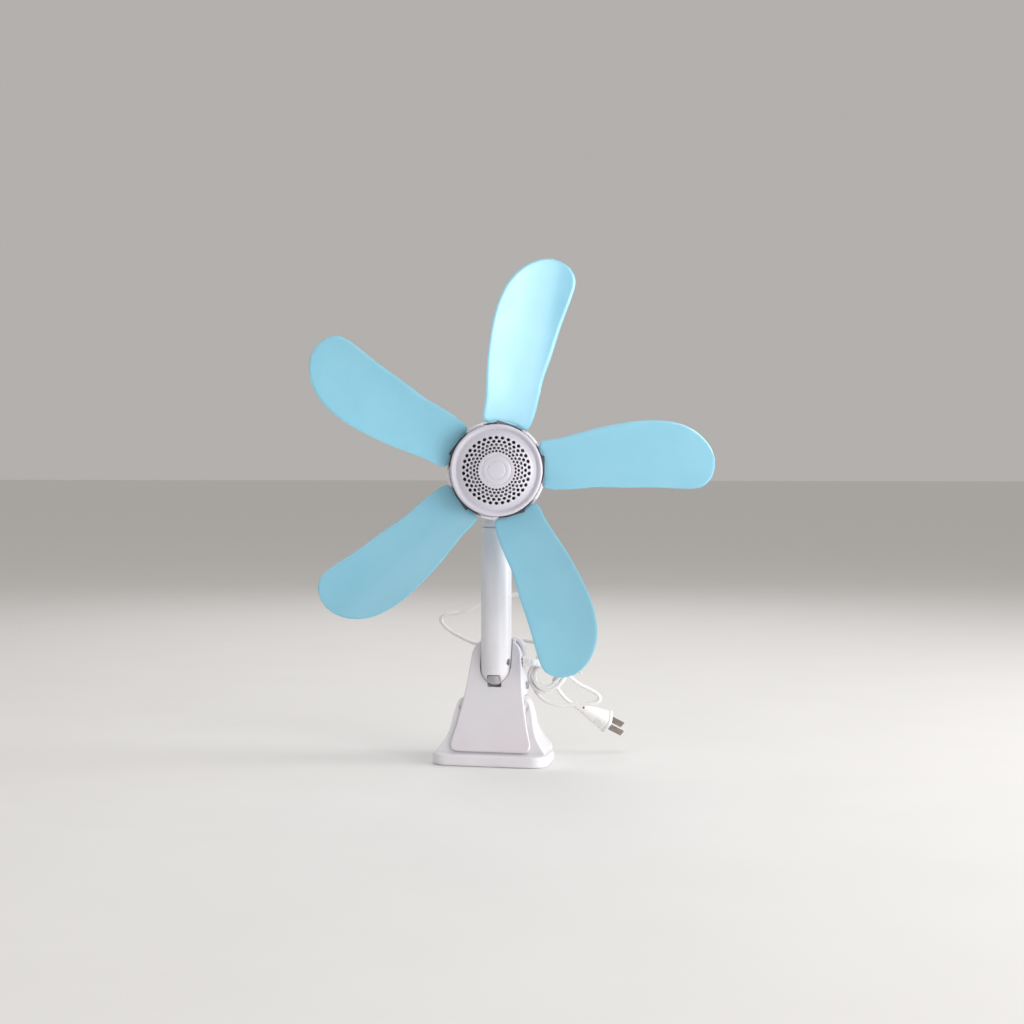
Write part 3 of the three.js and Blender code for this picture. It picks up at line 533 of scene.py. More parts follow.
def smooth_line(points, spacing):
    """A centripetal Catmull-Rom curve through the points, then points along it at an even spacing."""
    at = [Vector(p) for p in points]
    at = [at[0] * 2 - at[1], *at, at[-1] * 2 - at[-2]]
    fine = []
    for i in range(1, len(at) - 2):
        p0, p1, p2, p3 = at[i - 1:i + 3]
        t0 = 0
        t1 = t0 + (p1 - p0).length ** 0.5
        t2 = t1 + (p2 - p1).length ** 0.5
        t3 = t2 + (p3 - p2).length ** 0.5
        for k in range(12):
            t = t1 + (t2 - t1) * k / 12
            a1 = p0 * ((t1 - t) / (t1 - t0)) + p1 * ((t - t0) / (t1 - t0))
            a2 = p1 * ((t2 - t) / (t2 - t1)) + p2 * ((t - t1) / (t2 - t1))
            a3 = p2 * ((t3 - t) / (t3 - t2)) + p3 * ((t - t2) / (t3 - t2))
            b1 = a1 * ((t2 - t) / (t2 - t0)) + a2 * ((t - t0) / (t2 - t0))
            b2 = a2 * ((t3 - t) / (t3 - t1)) + a3 * ((t - t1) / (t3 - t1))
            fine.append(b1 * ((t2 - t) / (t2 - t1)) + b2 * ((t - t1) / (t2 - t1)))
    fine.append(at[-2])
    lengths = [0]
    for a, b in zip(fine, fine[1:]):
        lengths.append(lengths[-1] + (b - a).length)
    count = round(lengths[-1] / spacing)
    made, k = [], 0
    for i in range(count + 1):
        goal = lengths[-1] * i / count
        while k < len(fine) - 2 and lengths[k + 1] < goal:
            k += 1
        t = (goal - lengths[k]) / (lengths[k + 1] - lengths[k])
        made.append(fine[k].lerp(fine[k + 1], t))
    return made, lengths[-1]


def power_cord():
    """The lead as one round curve, with the points of its line, and its length before they are smoothed."""
    points, length = smooth_line(cord_route(), CORD_STEP)
    for _ in range(SMOOTHING_ROUNDS):
        inside = [(a + b * 2 + c) / 4 for a, b, c in zip(points, points[1:], points[2:])]
        points = [points[0]] + inside + [points[-1]]
    data = bpy.data.curves.new("power_cord", "CURVE")
    data.dimensions = "3D"
    data.bevel_depth = CORD_RADIUS * MM
    data.bevel_resolution = 5
    data.use_fill_caps = True
    lead = data.splines.new("POLY")
    lead.points.add(len(points) - 1)
    for point, place in zip(lead.points, points):
        point.co = (*(place * MM), 1)
    lead.use_smooth = True
    piece = bpy.data.objects.new("power_cord", data)
    bpy.context.collection.objects.link(piece)
    stands_for(piece, "clip", "cord_pvc", CORD, "cord_exit", "cord_hank", "cord_big_loop", "cord_side_loop",
               "cord_plug_run")
    return piece, points, length


BOOT_FROM = 24.6               # x where the boot starts, inside the clip's wall
BOOT_POINTS = 13               # of the cord's line
BOOT_RADIUS = 4.6
BOOT_TAPER = 1.9
BOOT_RINGS = 5.5
RING_DEPTH = 0.55


def cord_boot(points):
    """The boot where the cord leaves the clip, ringed so that it bends, and its flange."""
    path = [p for p in points[:18] if p.x > BOOT_FROM][:BOOT_POINTS]
    radii = [BOOT_RADIUS - BOOT_TAPER * (i / (len(path) - 1)) for i in range(len(path))]
    fine, grooved = [], []
    for i in range(len(path) - 1):
        for k in range(6):
            t = k / 6
            fine.append(path[i].lerp(path[i + 1], t))
            whole = (i + t) / (len(path) - 1)
            groove = 0
            if 0.2 < whole < 0.93:
                groove = RING_DEPTH * max(0.0, math.sin(2 * math.pi * whole * BOOT_RINGS)) ** 2
            grooved.append(radii[i] + (radii[i + 1] - radii[i]) * t - groove)
    sleeve = sweep("cord_boot", fine, grooved, 36)
    collar = rod("boot_flange", 5.3, (25.3, 2, 96), (26.9, 2, 96))
    stands_for(sleeve, "clip", "white_plastic", CORD, "cord_gland")
    stands_for(eased(collar, 0.4), "clip", "white_plastic", CORD)
    return sleeve, collar


# Flat two-pin plug: ringed sleeve, flared shoulder, ribbed grip and a thin flange round the pins.
PLUG_PLACE = (
    Matrix.Translation(PLUG_START)
    @ Vector((0, 0, 1)).rotation_difference(PLUG_ALONG).to_matrix().to_4x4()
    @ Matrix.Rotation(PLUG_ROLL, 4, "Z")
)
PLUG_SECTIONS = [
    # height, half width, half depth, squareness
    (0, 2.9, 2.9, 2), (0.5, 3.3, 3.3, 2), (8, 3.8, 3.7, 2), (10, 4.3, 4.1, 2.1), (14, 5.6, 5.0, 2.2),
    (18, 6.8, 5.8, 2.3), (23, 8.0, 6.7, 2.5), (28, 9.1, 7.4, 2.7), (33, 10.0, 8.0, 2.8), (36, 10.5, 8.3, 2.9),
    (37.6, 10.6, 8.4, 3), (38.2, 11.8, 9.3, 3.1), (40.4, 12.0, 9.5, 3.1), (41, 11.6, 9.1, 3.1),
]
PLUG_STRAIGHT = (0, 10, 11, 12)  # the sections that run straight to the next, where the others are eased
PLUG_STEPS = 150
PLUG_SIDES = 72
SLEEVE_RINGS = (2, 8.4)        # heights between which the sleeve is ringed
SLEEVE_PITCH = 1.6
SLEEVE_DEPTH = 0.6
GRIP_RIBS = (24, 34)           # heights between which the grip is ribbed
RIB_DEPTH = 0.5
DIMPLE_HEIGHT = 10


def plug_sections():
    rings = []
    for i in range(PLUG_STEPS + 1):
        z = PLUG_SECTIONS[-1][0] * i / PLUG_STEPS
        k = max(n for n in range(len(PLUG_SECTIONS) - 1) if PLUG_SECTIONS[n][0] <= z)
        low, high = PLUG_SECTIONS[k], PLUG_SECTIONS[k + 1]
        t = (z - low[0]) / (high[0] - low[0])
        if k not in PLUG_STRAIGHT:
            t = t * t * (3 - 2 * t) * 0.35 + t * 0.65
        w, d, power = (a + (b - a) * t for a, b in zip(low[1:], high[1:]))
        if SLEEVE_RINGS[0] < z < SLEEVE_RINGS[1]:
            ring = SLEEVE_DEPTH * max(0.0, math.sin((z - SLEEVE_RINGS[0]) * math.pi / SLEEVE_PITCH)) ** 2
            w, d = w - ring, d - ring
        if GRIP_RIBS[0] < z < GRIP_RIBS[1]:
            w -= RIB_DEPTH * (0.5 - 0.5 * math.cos((z - GRIP_RIBS[0]) * math.pi))
        section = []
        for j in range(PLUG_SIDES):
            a = 2 * math.pi * j / PLUG_SIDES
            c, s = math.cos(a), math.sin(a)
            section.append((
                w * math.copysign(abs(c) ** (2 / power), c), d * math.copysign(abs(s) ** (2 / power), s), z,
            ))
        rings.append(section)
    return rings


def plug_pieces():
    """The plug's grip and the dimple in its side, a dark rod end whose colour is painted shade."""
    grip = loft("plug_grip", plug_sections(), PLUG_PLACE)
    stands_for(grip, "clip", "white_plastic", CORD, "plug_body")
    inner = PLUG_PLACE @ Vector((0, 0, DIMPLE_HEIGHT))
    # Painted shade: the dimple is a short dark rod ending at the grip's surface.
    mark = rod("plug_dimple", 1.0, inner, PLUG_PLACE @ Vector((2.6, -3.7, DIMPLE_HEIGHT)), 24)
    for name in ("plug_pin_upper", "plug_pin_lower"):
        eased(finish(NODES[name], BRASS), 0.35)
    stands_for(mark, "clip", "dark_plastic", DARK_AND_SHADE)
    return grip, mark


TIE_RADIUS = 1.15
TIE_STEPS = 48
TIE_SQUARENESS = 0.62
TAIL_RADIUS = 0.9
TAIL_STEPS = 24
TAIL_TWIST = 1.1               # radius of the twist in the tie's tail


def hank_ties():
    """The wire tie round the middle of the hank, and its twisted tail."""
    path = []
    for i in range(TIE_STEPS + 1):
        a = 2 * math.pi * i / TIE_STEPS
        c, s = math.cos(a), math.sin(a)
        across = (OUTER + 2.9) * math.copysign(abs(c) ** TIE_SQUARENESS, c)
        depth = 31.6 + 10.6 * math.copysign(abs(s) ** TIE_SQUARENESS, s)
        path.append(Vector(in_hank(across, 0.9 * math.sin(a * 2 + 0.7), depth)))
    loop = sweep("hank_tie", path, [TIE_RADIUS] * len(path), 20)
    tail = []
    for i in range(TAIL_STEPS + 1):
        t = i / TAIL_STEPS
        a = t * 5 * math.pi
        tail.append(Vector(in_hank(
            OUTER + 3.2 + t * 10, TAIL_TWIST * math.sin(a) + t * 4, 23.4 + TAIL_TWIST * math.cos(a) - t * 2.5,
        )))
    end = sweep("tie_tail", tail, [TAIL_RADIUS] * len(tail), 14)
    stands_for(loop, "clip", "cord_pvc", CORD, "cord_tie")
    stands_for(end, "clip", "cord_pvc", CORD)
    return loop, end


cord, line, cord_length = power_cord()
boot, flange = cord_boot(line)
plug, dimple = plug_pieces()
tie, tail_piece = hank_ties()

# ---------------------------------------------------------------- floor, light

FLOOR_HALF = 40                # metres
corners = [(x * FLOOR_HALF, y * FLOOR_HALF, 0) for x, y in ((-1, -1), (1, -1), (1, 1), (-1, 1))]
floor_data = bpy.data.meshes.new("floor")
floor_data.from_pydata(corners, [], [(0, 1, 2, 3)])
floor = bpy.data.objects.new("floor", floor_data)
bpy.context.collection.objects.link(floor)
pale, pale_nodes, pale_links, pale_shader, pale_where = new_material("pale_floor")
weave = noise_at(pale_nodes, pale_links, pale_where, 9, 5)
pale_colour = mixed(pale_nodes, pale_links, weave, (0.86, 0.85, 0.84), (0.82, 0.81, 0.80))
pale_links.new(pale_colour, pale_shader.inputs["Base Color"])
pale_shader.inputs["Roughness"].default_value = 0.7
finish(floor, pale)

world = bpy.data.worlds.new("studio")
world.use_nodes = True
world.node_tree.nodes["Background"].inputs["Color"].default_value = (1.0, 0.965, 0.93, 1)
world.node_tree.nodes["Background"].inputs["Strength"].default_value = 0.45
bpy.context.scene.world = world
bpy.context.scene.view_settings.view_transform = "Standard"


LIGHT_AIM = Vector((0, -0.02, 0.22))


def softbox(name, place, size, power, colour):
    """A rectangular light at the place, turned to the fan."""
    light = bpy.data.lights.new(name, "AREA")
    light.shape = "RECTANGLE"
    light.size, light.size_y = size
    light.energy = power
    light.color = colour
    made = bpy.data.objects.new(name, light)
    made.location = place
    made.rotation_euler = (LIGHT_AIM - Vector(place)).to_track_quat("-Z", "Y").to_euler()
    bpy.context.collection.objects.link(made)


softbox("key", (1.75, -1.3, 0.22), (1.5, 1.3), 27, (1.0, 0.985, 0.97))
softbox("fill", (-1.2, -1.7, 1.3), (1.2, 1.2), 4, (0.97, 0.98, 1.0))
softbox("side", (1.75, -0.95, 0.35), (0.7, 1.3), 8, (0.97, 0.985, 1.0))
softbox("rim", (1.9, 0.35, 0.6), (0.7, 1.2), 23, (1.0, 1.0, 1.0))
softbox("back", (-0.4, 1.7, 1.3), (1.2, 0.8), 5, (1.0, 1.0, 1.0))
softbox("top", (0, 0.2, 2.0), (1.6, 1.6), 9, (1.0, 1.0, 1.0))

# ---------------------------------------------------------------- blades

BLADE_ROOT = 46.3
BLADE_TIP = 210
BLADE_THICK = 1.8
LEADING_EDGE = [
    (BLADE_ROOT, -11), (49, -16.4), (56, -18.4), (66, -18.6), (82, -17.4), (98, -16), (121, -16.6),
    (150, -16.4), (175, -17.4), (190, -17.4), (199, -14.8), (206, -7.5), (BLADE_TIP - 0.8, 2),
]
TRAILING_EDGE = [
    (BLADE_ROOT, 21), (49.3, 27), (55, 29.3), (64, 31.6), (78, 35.4), (99, 41), (127, 46), (148, 47.6),
    (168, 45.8), (183, 41), (196, 32.5), (205, 21.5), (BLADE_TIP - 0.8, 11),
]
ROOT_SLOPE, TIP_SLOPE = 0.42, 0.25
PITCH_LINE = 10                # v about which the blade is pitched
HOLLOW_LINE = 15               # v where the blade is deepest
HOLLOW_HALF = 33
HOLLOW_DEPTH = 3.4
ROOT_FADE = 14                 # how far out from the root its edge is still drawn in
LIP_WIDTH = 3.2
LIP_DROP = 0.9
TAB = (35.4, 52, -4.5, 14)     # u from and to, v from and to
TAB_THICK = 1.4
TAB_SCREW = (38.5, 4.5)
EDGE_STEPS = 120


def blade_depth(u, v):
    """Depth of the blade's middle surface: pitched, less so towards the tip, and hollow on the front."""
    pitch = ROOT_SLOPE + (TIP_SLOPE - ROOT_SLOPE) * (u - BLADE_ROOT) / (BLADE_TIP - BLADE_ROOT)
    return pitch * (v - PITCH_LINE) - HOLLOW_DEPTH * (1 - ((v - HOLLOW_LINE) / HOLLOW_HALF) ** 2)


def root_shift(u, v):
    """How far a point near the root moves in towards the hub, so that the root follows the round covers."""
    near = max(0, 1 - (u - BLADE_ROOT) / ROOT_FADE)
    return near and near * (BLADE_ROOT - math.sqrt(BLADE_ROOT ** 2 - v * v))


def sheet(low, high, columns, thickness, lip=0.0):
    """Two skins over a grid between two edge lines, joined round the outside; the lip turns the edge back."""
    rows = len(low) - 1
    shares = [0.5 - 0.5 * math.cos(math.pi * j / columns) for j in range(columns + 1)]
    verts, faces = [], []
    for side in (1, -1):
        for i in range(rows + 1):
            width = (high[i] - low[i]).length
            for share in shares:
                u, v, _ = low[i].lerp(high[i], share)
                ends = min((BLADE_TIP - u) * 0.8, (u - BLADE_ROOT) * 0.8 + 0.6)
                inside = min(min(share, 1 - share) * width, ends)
                drop = lip * (1 - min(1.0, max(0.0, inside / LIP_WIDTH))) ** 2
                moved = root_shift(u, v) if lip else 0
                verts.append((u - moved, v, blade_depth(u, v) - drop + side * thickness / 2))
    layer = (rows + 1) * (columns + 1)

    def at(side, i, j):
        return side * layer + i * (columns + 1) + j

    for i in range(rows):
        for j in range(columns):
            for side in (0, 1):
                faces.append((at(side, i, j), at(side, i + 1, j), at(side, i + 1, j + 1), at(side, i, j + 1)))
        for j in (0, columns):
            faces.append((at(0, i, j), at(1, i, j), at(1, i + 1, j), at(0, i + 1, j)))
    for j in range(columns):
        for i in (0, rows):
            faces.append((at(0, i, j), at(0, i, j + 1), at(1, i, j + 1), at(1, i, j)))
    return verts, faces


def flat_line(points, count):
    """A smooth (u, v) line with no depth yet."""
    return spline([(x, y, 0) for x, y in points], count)


def blades():
    """Five blades, each a paddle with the tab that is screwed into the covers, the tab's faces inside the
    root painted dark as shade, and their screws' finish.
    """
    edges = [flat_line(edge, EDGE_STEPS) for edge in (LEADING_EDGE, TRAILING_EDGE)]
    paddle = mesh_piece("paddle", *sheet(*edges, 44, BLADE_THICK, lip=LIP_DROP))
    eased(paddle, 0.55, 3, 55)
    applied(paddle)
    low, high = (flat_line([(TAB[0], v), (TAB[1], v)], 8) for v in TAB[2:])
    tab = mesh_piece("tab", *sheet(low, high, 10, TAB_THICK))
    cut(tab, rod("hole", 1.5, (*TAB_SCREW, -20), (*TAB_SCREW, 20), 32))
    eased(tab, 0.3, 2, 50)
    applied(tab)
    before = len(paddle.data.polygons)
    # Painted shade: the tab's faces inside the blade's root take the dark material, for the shadowed gap
    # between the covers and the root.
    painted_shade_faces = [before + face.index for face in tab.data.polygons if face.center.x < (BLADE_ROOT + 0.4) * MM]
    for n in range(5):
        place = Matrix.Scale(MM, 4) @ MOTOR @ Matrix.Rotation(math.radians(72 * n), 4, "Z")
        place = place @ Matrix.Scale(1 / MM, 4)
        built = bmesh.new()
        built.from_mesh(paddle.data)
        built.from_mesh(tab.data)
        built.transform(place)
        data = bpy.data.meshes.new(f"fan_blade_{n + 1}")
        built.to_mesh(data)
        built.free()
        data.shade_smooth()
        piece = bpy.data.objects.new(f"fan_blade_{n + 1}", data)
        bpy.context.collection.objects.link(piece)
        weighted = piece.modifiers.new("even", "WEIGHTED_NORMAL")
        weighted.keep_sharp = False
        stands_for(piece, "rotor", "blade_plastic", BLADE, f"blade_{n + 1}")
        second_finish(piece, DARK_AND_SHADE, painted_shade_faces)
        eased(finish(NODES[f"blade_screw_{n + 1}"], STEEL), 0.2, 2)
    bpy.data.objects.remove(paddle)
    bpy.data.objects.remove(tab)


blades()

# ---------------------------------------------------------------- motor covers

HOLES = 34                     # in each row of the grille
QUARTERS = HOLES * 4
GRILLE_EDGES = [16.8, 19.6, 22.6, 25.8, 29.2, 32.9]
HOLE_POWER = 1.6               # between a diamond, 1, and a circle, 2
CELL_POINTS = 16               # round each hole, four to a side
COVER_THICK = 2.2
DOME = [
    (0, 23.4), (6, 23.2), (12, 22.75), (18, 21.9), (25, 20.15), (30, 18.5), (33, 17.2), (35.4, 15.9),
    (37, 14.8), (38.2, 14.25), (39.4, 14.9), (40.6, 16.3), (41.6, 16.75), (42.6, 16.6), (43.4, 15.8),
    (HUB_RADIUS, 14.4),
]


def dome(radius):
    """Height of the front cover's outside at a radius."""
    k = next((n for n in range(len(DOME) - 2) if radius <= DOME[n + 1][0]), len(DOME) - 2)
    (x0, y0), (x1, y1) = DOME[k], DOME[k + 1]
    before = DOME[k - 1] if k else (-DOME[1][0], DOME[1][1])
    after = DOME[min(k + 2, len(DOME) - 1)]
    m0 = (y1 - before[1]) / (x1 - before[0])
    m1 = (after[1] - y0) / (after[0] - x0)
    t, span = (radius - x0) / (x1 - x0), x1 - x0
    return (
        (2 * t ** 3 - 3 * t * t + 1) * y0 + (t ** 3 - 2 * t * t + t) * m0 * span
        + (3 * t * t - 2 * t ** 3) * y1 + (t ** 3 - t * t) * m1 * span
    )


class Skin:
    """Points kept once each by name, and the faces between them."""

    def __init__(self):
        self.verts, self.faces, self.known = [], [], {}

    def at(self, key, point):
        if key not in self.known:
            self.known[key] = len(self.verts)
            self.verts.append(point)
        return self.known[key]

    def ring(self, name, radius, quarter, drop, height=None):
        angle = 2 * math.pi * (quarter % QUARTERS) / QUARTERS
        z = dome(radius) - drop if height is None else height
        return self.at((name, radius, height, quarter % QUARTERS, drop), (
            radius * math.cos(angle), radius * math.sin(angle), z,
        ))

    def join(self, loop, other):
        """Quads between two loops round a hole."""
        for k in range(CELL_POINTS):
            after = (k + 1) % CELL_POINTS
            self.faces.append((loop[k], loop[after], other[after], other[k]))

    def band(self, first, last):
        """Quads between two whole rings, each a (name, radius, drop, height)."""
        for q in range(QUARTERS):
            corners = ((first, q), (first, q + 1), (last, q + 1), (last, q))
            self.faces.append(tuple(self.ring(f[0], f[1], k, f[2], f[3]) for f, k in corners))


def grille_cell(skin, row, hole, drop, rims):
    """One hole and the web round it, at the given drop below the outside."""
    first = 4 * hole + 2 * (row % 2)
    inner, outer = GRILLE_EDGES[row], GRILLE_EDGES[row + 1]
    edge = [(inner, first + k) for k in range(5)]
    edge += [(inner + (outer - inner) * k / 4, first + 4) for k in (1, 2, 3)]
    edge += [(outer, first + 4 - k) for k in range(5)]
    edge += [(outer - (outer - inner) * k / 4, first) for k in (1, 2, 3)]
    border = [skin.ring("web", radius, quarter, drop) for radius, quarter in edge]
    middle = (inner + outer) / 2
    turn = 2 * math.pi * (first + 2) / QUARTERS
    centre = Vector((middle * math.cos(turn), middle * math.sin(turn)))
    ways = []
    for radius, quarter in edge:
        angle = 2 * math.pi * quarter / QUARTERS
        ways.append((Vector((radius * math.cos(angle), radius * math.sin(angle))) - centre).normalized())
    loops = [border]
    outwards = Vector((math.cos(turn), math.sin(turn)))
    half = (outer - inner) / 2
    deep = half - 0.1
    wide = min(half + 0.1, math.pi * middle / HOLES - 0.3)
    for n, (spare, sink) in enumerate(rims):
        loop = []
        for k, way in enumerate(ways):
            along, across = abs(way.dot(outwards)), abs(way.cross(outwards))
            size = (along / deep) ** HOLE_POWER + (across / wide) ** HOLE_POWER
            x, y = centre + way * (size ** (-1 / HOLE_POWER) + spare)
            loop.append(skin.at((row, hole, drop, n, k), (x, y, dome(math.hypot(x, y)) - drop - sink)))
        loops.append(loop)
    for a, b in zip(loops, loops[1:]):
        skin.join(a, b)
    return loops[-1]


def front_cover():
    """The domed cover: grille, ringed middle, grooved rim and hollow inside, as one closed skin."""
    skin = Skin()
    for row in range(len(GRILLE_EDGES) - 1):
        for hole in range(HOLES):
            top = grille_cell(skin, row, hole, 0, ((0, 0.0), (-0.06, 0.08), (-0.1, 0.3)))
            low = grille_cell(skin, row, hole, COVER_THICK, ((-0.1, 0.0),))
            skin.join(top, low)
    middle = [GRILLE_EDGES[0], 16.5, 14.6, 14.2, 13.9, 13.6, 13.2, 11, 9.2, 8.9, 8.7, 8.5, 8.2, 6, 3.6, 1.8]
    sunk = {14.2: 0.12, 13.9: 0.3, 13.6: 0.12, 8.9: 0.1, 8.7: 0.24, 8.5: 0.1}
    for drop in (0, COVER_THICK):
        rings = [("web", r, drop + (sunk.get(r, 0) if drop == 0 else 0), None) for r in middle]
        for first, last in zip(rings, rings[1:]):
            skin.band(first, last)
        tip = skin.at(("tip", drop), (0, 0, dome(0) - drop))
        for q in range(QUARTERS):
            skin.faces.append((
                skin.ring("web", middle[-1], q, drop), skin.ring("web", middle[-1], q + 1, drop), tip,
            ))
    outside = [GRILLE_EDGES[-1] + (HUB_RADIUS - GRILLE_EDGES[-1]) * k / 22 for k in range(23)]
    outside = [("web" if k == 0 else "rim", r, 0, None) for k, r in enumerate(outside)]
    side = [("side", HUB_RADIUS, 0, z) for z in (13.6, 12, 9, 6.4, 5.8)]
    side += [("side", HUB_RADIUS - 0.15, 0, 5.45), ("side", HUB_RADIUS - 0.5, 0, 5.3)]
    side += [("side", HUB_RADIUS - 2.2, 0, 5.3), ("side", HUB_RADIUS - 2.2, 0, 12.4)]
    side += [("side", 38, 0, 12.6), ("side", 35.4, 0, 13.5), ("web", GRILLE_EDGES[-1], COVER_THICK, None)]
    whole = outside + side
    for first, last in zip(whole, whole[1:]):
        skin.band(first, last)
    piece = mesh_piece("grille_cover", skin.verts, skin.faces, MOTOR)
    stands_for(piece, "rotor", "white_plastic", HUB_WHITE, "front_cover")


# The rear cover is cut away under each blade's root, as the (v, depth) of the blade's own frame.
NOTCH = [
    (-15.5, -13), (-10, -12), (-5, -11), (0, -9.5), (5, -8), (10, -6), (14, -4.4), (20, -1.2), (27, 2),
    (27, 12), (20, 12), (14, 12), (10, 12), (5, 12), (0, 12), (-5, 12), (-10, 12), (-15.5, 12),
]
ROOT_ROOM = 45.8               # radius left of the wall where a root passes
TAB_SLOT = [(-5.3, -11), (5, -8), (14.8, -4.2), (14.8, 12), (-5.3, 12)]
PAST_WALL = 60                 # a radius outside the rear cover
VENTS = 10
VENT_HALF = 1.6
VENT_INNER, VENT_OUTER = 35.1, 41
VENT_LOW, VENT_HIGH = -30, -15
# Below this height the inside of the rear cover is painted dark as shade.
RIM_HEIGHT = 2.6               # above it the rear cover's rim stays white
WALL_MIDDLE = [
    (-21.2, POT_RADIUS - 14), (-19.9, POT_RADIUS - 8.5), (-17.2, POT_RADIUS - 3.5), (-12, POT_RADIUS - 1.5),
]


def wall_middle(z):
    """The radius half way through the rear cover's wall at a height, nothing below its floor."""
    if z < WALL_MIDDLE[0][0]:
        return 0
    for (z0, r0), (z1, r1) in zip(WALL_MIDDLE, WALL_MIDDLE[1:]):
        if z < z1:
            return r0 + (r1 - r0) * (z - z0) / (z1 - z0)
    return WALL_MIDDLE[-1][1]


def rear_cover():
    """The motor's pot with its notches, tab slots and vents, with shade painted dark on the inside."""
    outline = [
        (HUB_RADIUS + 0.3, 3), (HUB_RADIUS + 0.3, 5), (POT_RADIUS, 5), (POT_RADIUS, -12),
        (POT_RADIUS - 2.5, -18), (POT_RADIUS - 8, -21.4), (POT_RADIUS - 14, -22.4), (10.4, -22.4),
        (10.4, -21), (6.4, -21), (6.4, -19.6), (POT_RADIUS - 14, -19.6), (POT_RADIUS - 9, -18.4),
        (POT_RADIUS - 4.4, -16), (POT_RADIUS - 2.5, -11.5),
    ]
    piece = lathe("motor_pot", fillet(outline, 2.5, 5), 160)
    cutters = []
    for n in range(5):
        turn = Matrix.Rotation(math.radians(72 * n), 4, "Z")
        near = [(math.sqrt(ROOT_ROOM ** 2 - v * v), v, z) for v, z in NOTCH]
        cutters.append(loft("notch", [near, [(PAST_WALL, v, z) for v, z in NOTCH]], turn))
        cutters.append(loft("tab_slot", [[(u, v, z) for v, z in TAB_SLOT] for u in (35, PAST_WALL)], turn))
    for n in range(VENTS):
        turn = math.radians(360 / VENTS * (n + 0.5))
        for r in (VENT_INNER, VENT_OUTER):
            middle = Vector((r * math.cos(turn), r * math.sin(turn)))
            cutters.append(rod("vent_end", VENT_HALF, (*middle, VENT_LOW), (*middle, VENT_HIGH), 20))
        low, high = (VENT_INNER, -VENT_HALF, VENT_LOW), (VENT_OUTER, VENT_HALF, VENT_HIGH)
        cutters.append(box_piece("vent", low, high, Matrix.Rotation(turn, 4, "Z")))
    cut(piece, *cutters)
    softened(piece, 0.6, 4)
    piece.data.transform(Matrix.Scale(MM, 4) @ MOTOR @ Matrix.Scale(1 / MM, 4))
    stands_for(piece, "rotor", "white_plastic", WHITE, "rear_cover")
    back = MOTOR.inverted() @ Matrix.Scale(1 / MM, 4)
    # Painted shade: faces inside the wall and below the rim take the dark material, so that the vents and
    # slots look dark.
    inside = []
    for face in piece.data.polygons:
        x, y, z = back @ face.center
        if z < RIM_HEIGHT and math.hypot(x, y) < wall_middle(z):
            inside.append(face.index)
    second_finish(piece, DARK_AND_SHADE, inside)


front_cover()
rear_cover()

# ---------------------------------------------------------------- pole and neck

SCREW_TURN = math.radians(67)
SCREW_HEIGHT = 97
ROCKER_HEIGHT = 81
ROCKER_HALF = (5.7, 3.1)
ROCKER_GAP = 0.6
MARK_HEIGHT = 124              # of the small round mark of the mould
SKIN_REACH = 0.16              # how far softening may have moved the pole's outside
NECK_RADIUS = 13.4
COLLAR_RADIUS = 14.4
FLANGE_RADIUS = 14.2


def pole():
    """The tube with its round foot, bored, and cut for the screw, the rocker, the tongue and the pin."""
    top = POLE_TOP - TILT_HEIGHT
    outer = [(POLE_RADIUS * math.sin(a), -POLE_RADIUS * math.cos(a)) for a in
             (math.pi / 2 * k / 24 for k in range(25))]
    inner = [(POLE_BORE * math.sin(a), -POLE_BORE * math.cos(a)) for a in
             (math.pi / 2 * k / 16 for k in range(17))]
    outer += [(POLE_RADIUS, top * k / 12) for k in range(1, 12)]
    outer += [(POLE_RADIUS, top - 0.9), (POLE_RADIUS - 0.25, top - 0.3), (POLE_RADIUS - 0.9, top)]
    inner += [(POLE_BORE, top - 11), (8.5, top - 11), (8.5, top)]
    piece = lathe("tilt_pole", outer + inner[::-1], 96, Matrix.Translation((0, POLE_Y, TILT_HEIGHT)))
    way = Vector((math.sin(SCREW_TURN), -math.cos(SCREW_TURN), 0))
    axis = Vector((0, POLE_Y, SCREW_HEIGHT))
    low = ROCKER_HEIGHT - ROCKER_HALF[1] - ROCKER_GAP
    high = ROCKER_HEIGHT + ROCKER_HALF[1] + ROCKER_GAP
    half = ROCKER_HALF[0] + ROCKER_GAP
    cut(
        piece,
        rod("recess", 3.3, axis + way * (POLE_RADIUS - 3.2), axis + way * 20),
        rod("screw_hole", 1.9, axis + way * 5, axis + way * 20),
        box_piece("window", (-half, POLE_Y - 20, low), (half, POLE_Y - 9.3, high)),
        box_piece("tongue_slot", (-4.8, POLE_Y, TILT_HEIGHT - 16), (4.8, POLE_Y + 20, TILT_HEIGHT + 14)),
        rod("pin_hole", 2.65, (-20, POLE_Y, TILT_HEIGHT), (20, POLE_Y, TILT_HEIGHT)),
        rod("mould_mark", 1.1, (-2.4, POLE_Y - 16, MARK_HEIGHT),
            (-2.4, POLE_Y - POLE_RADIUS + 0.5, MARK_HEIGHT), 24),
    )
    softened(piece, 0.5, 4)
    # The softened outside is put back on the true cylinder and sphere.
    for v in piece.data.vertices:
        x, y, z = v.co.x / MM, v.co.y / MM - POLE_Y, v.co.z / MM - TILT_HEIGHT
        out = math.hypot(x, y) if z > 0 else math.sqrt(x * x + y * y + z * z)
        if abs(out - POLE_RADIUS) < SKIN_REACH and z < top - 1.2:
            share = POLE_RADIUS / out
            height = z if z > 0 else z * share
            v.co = ((x * share) * MM, (y * share + POLE_Y) * MM, (height + TILT_HEIGHT) * MM)
    stands_for(piece, "column", "white_plastic", WHITE, "pole")


def neck_radius(lift, left):
    """The neck's radius at a height above the pole and a distance before its end."""
    if left < 2.4:
        return FLANGE_RADIUS
    if lift <= 0.5:
        return COLLAR_RADIUS - 0.7
    if lift < 6:
        return COLLAR_RADIUS - min(1, max(0, lift - 4.2) / 1.4)
    return NECK_RADIUS


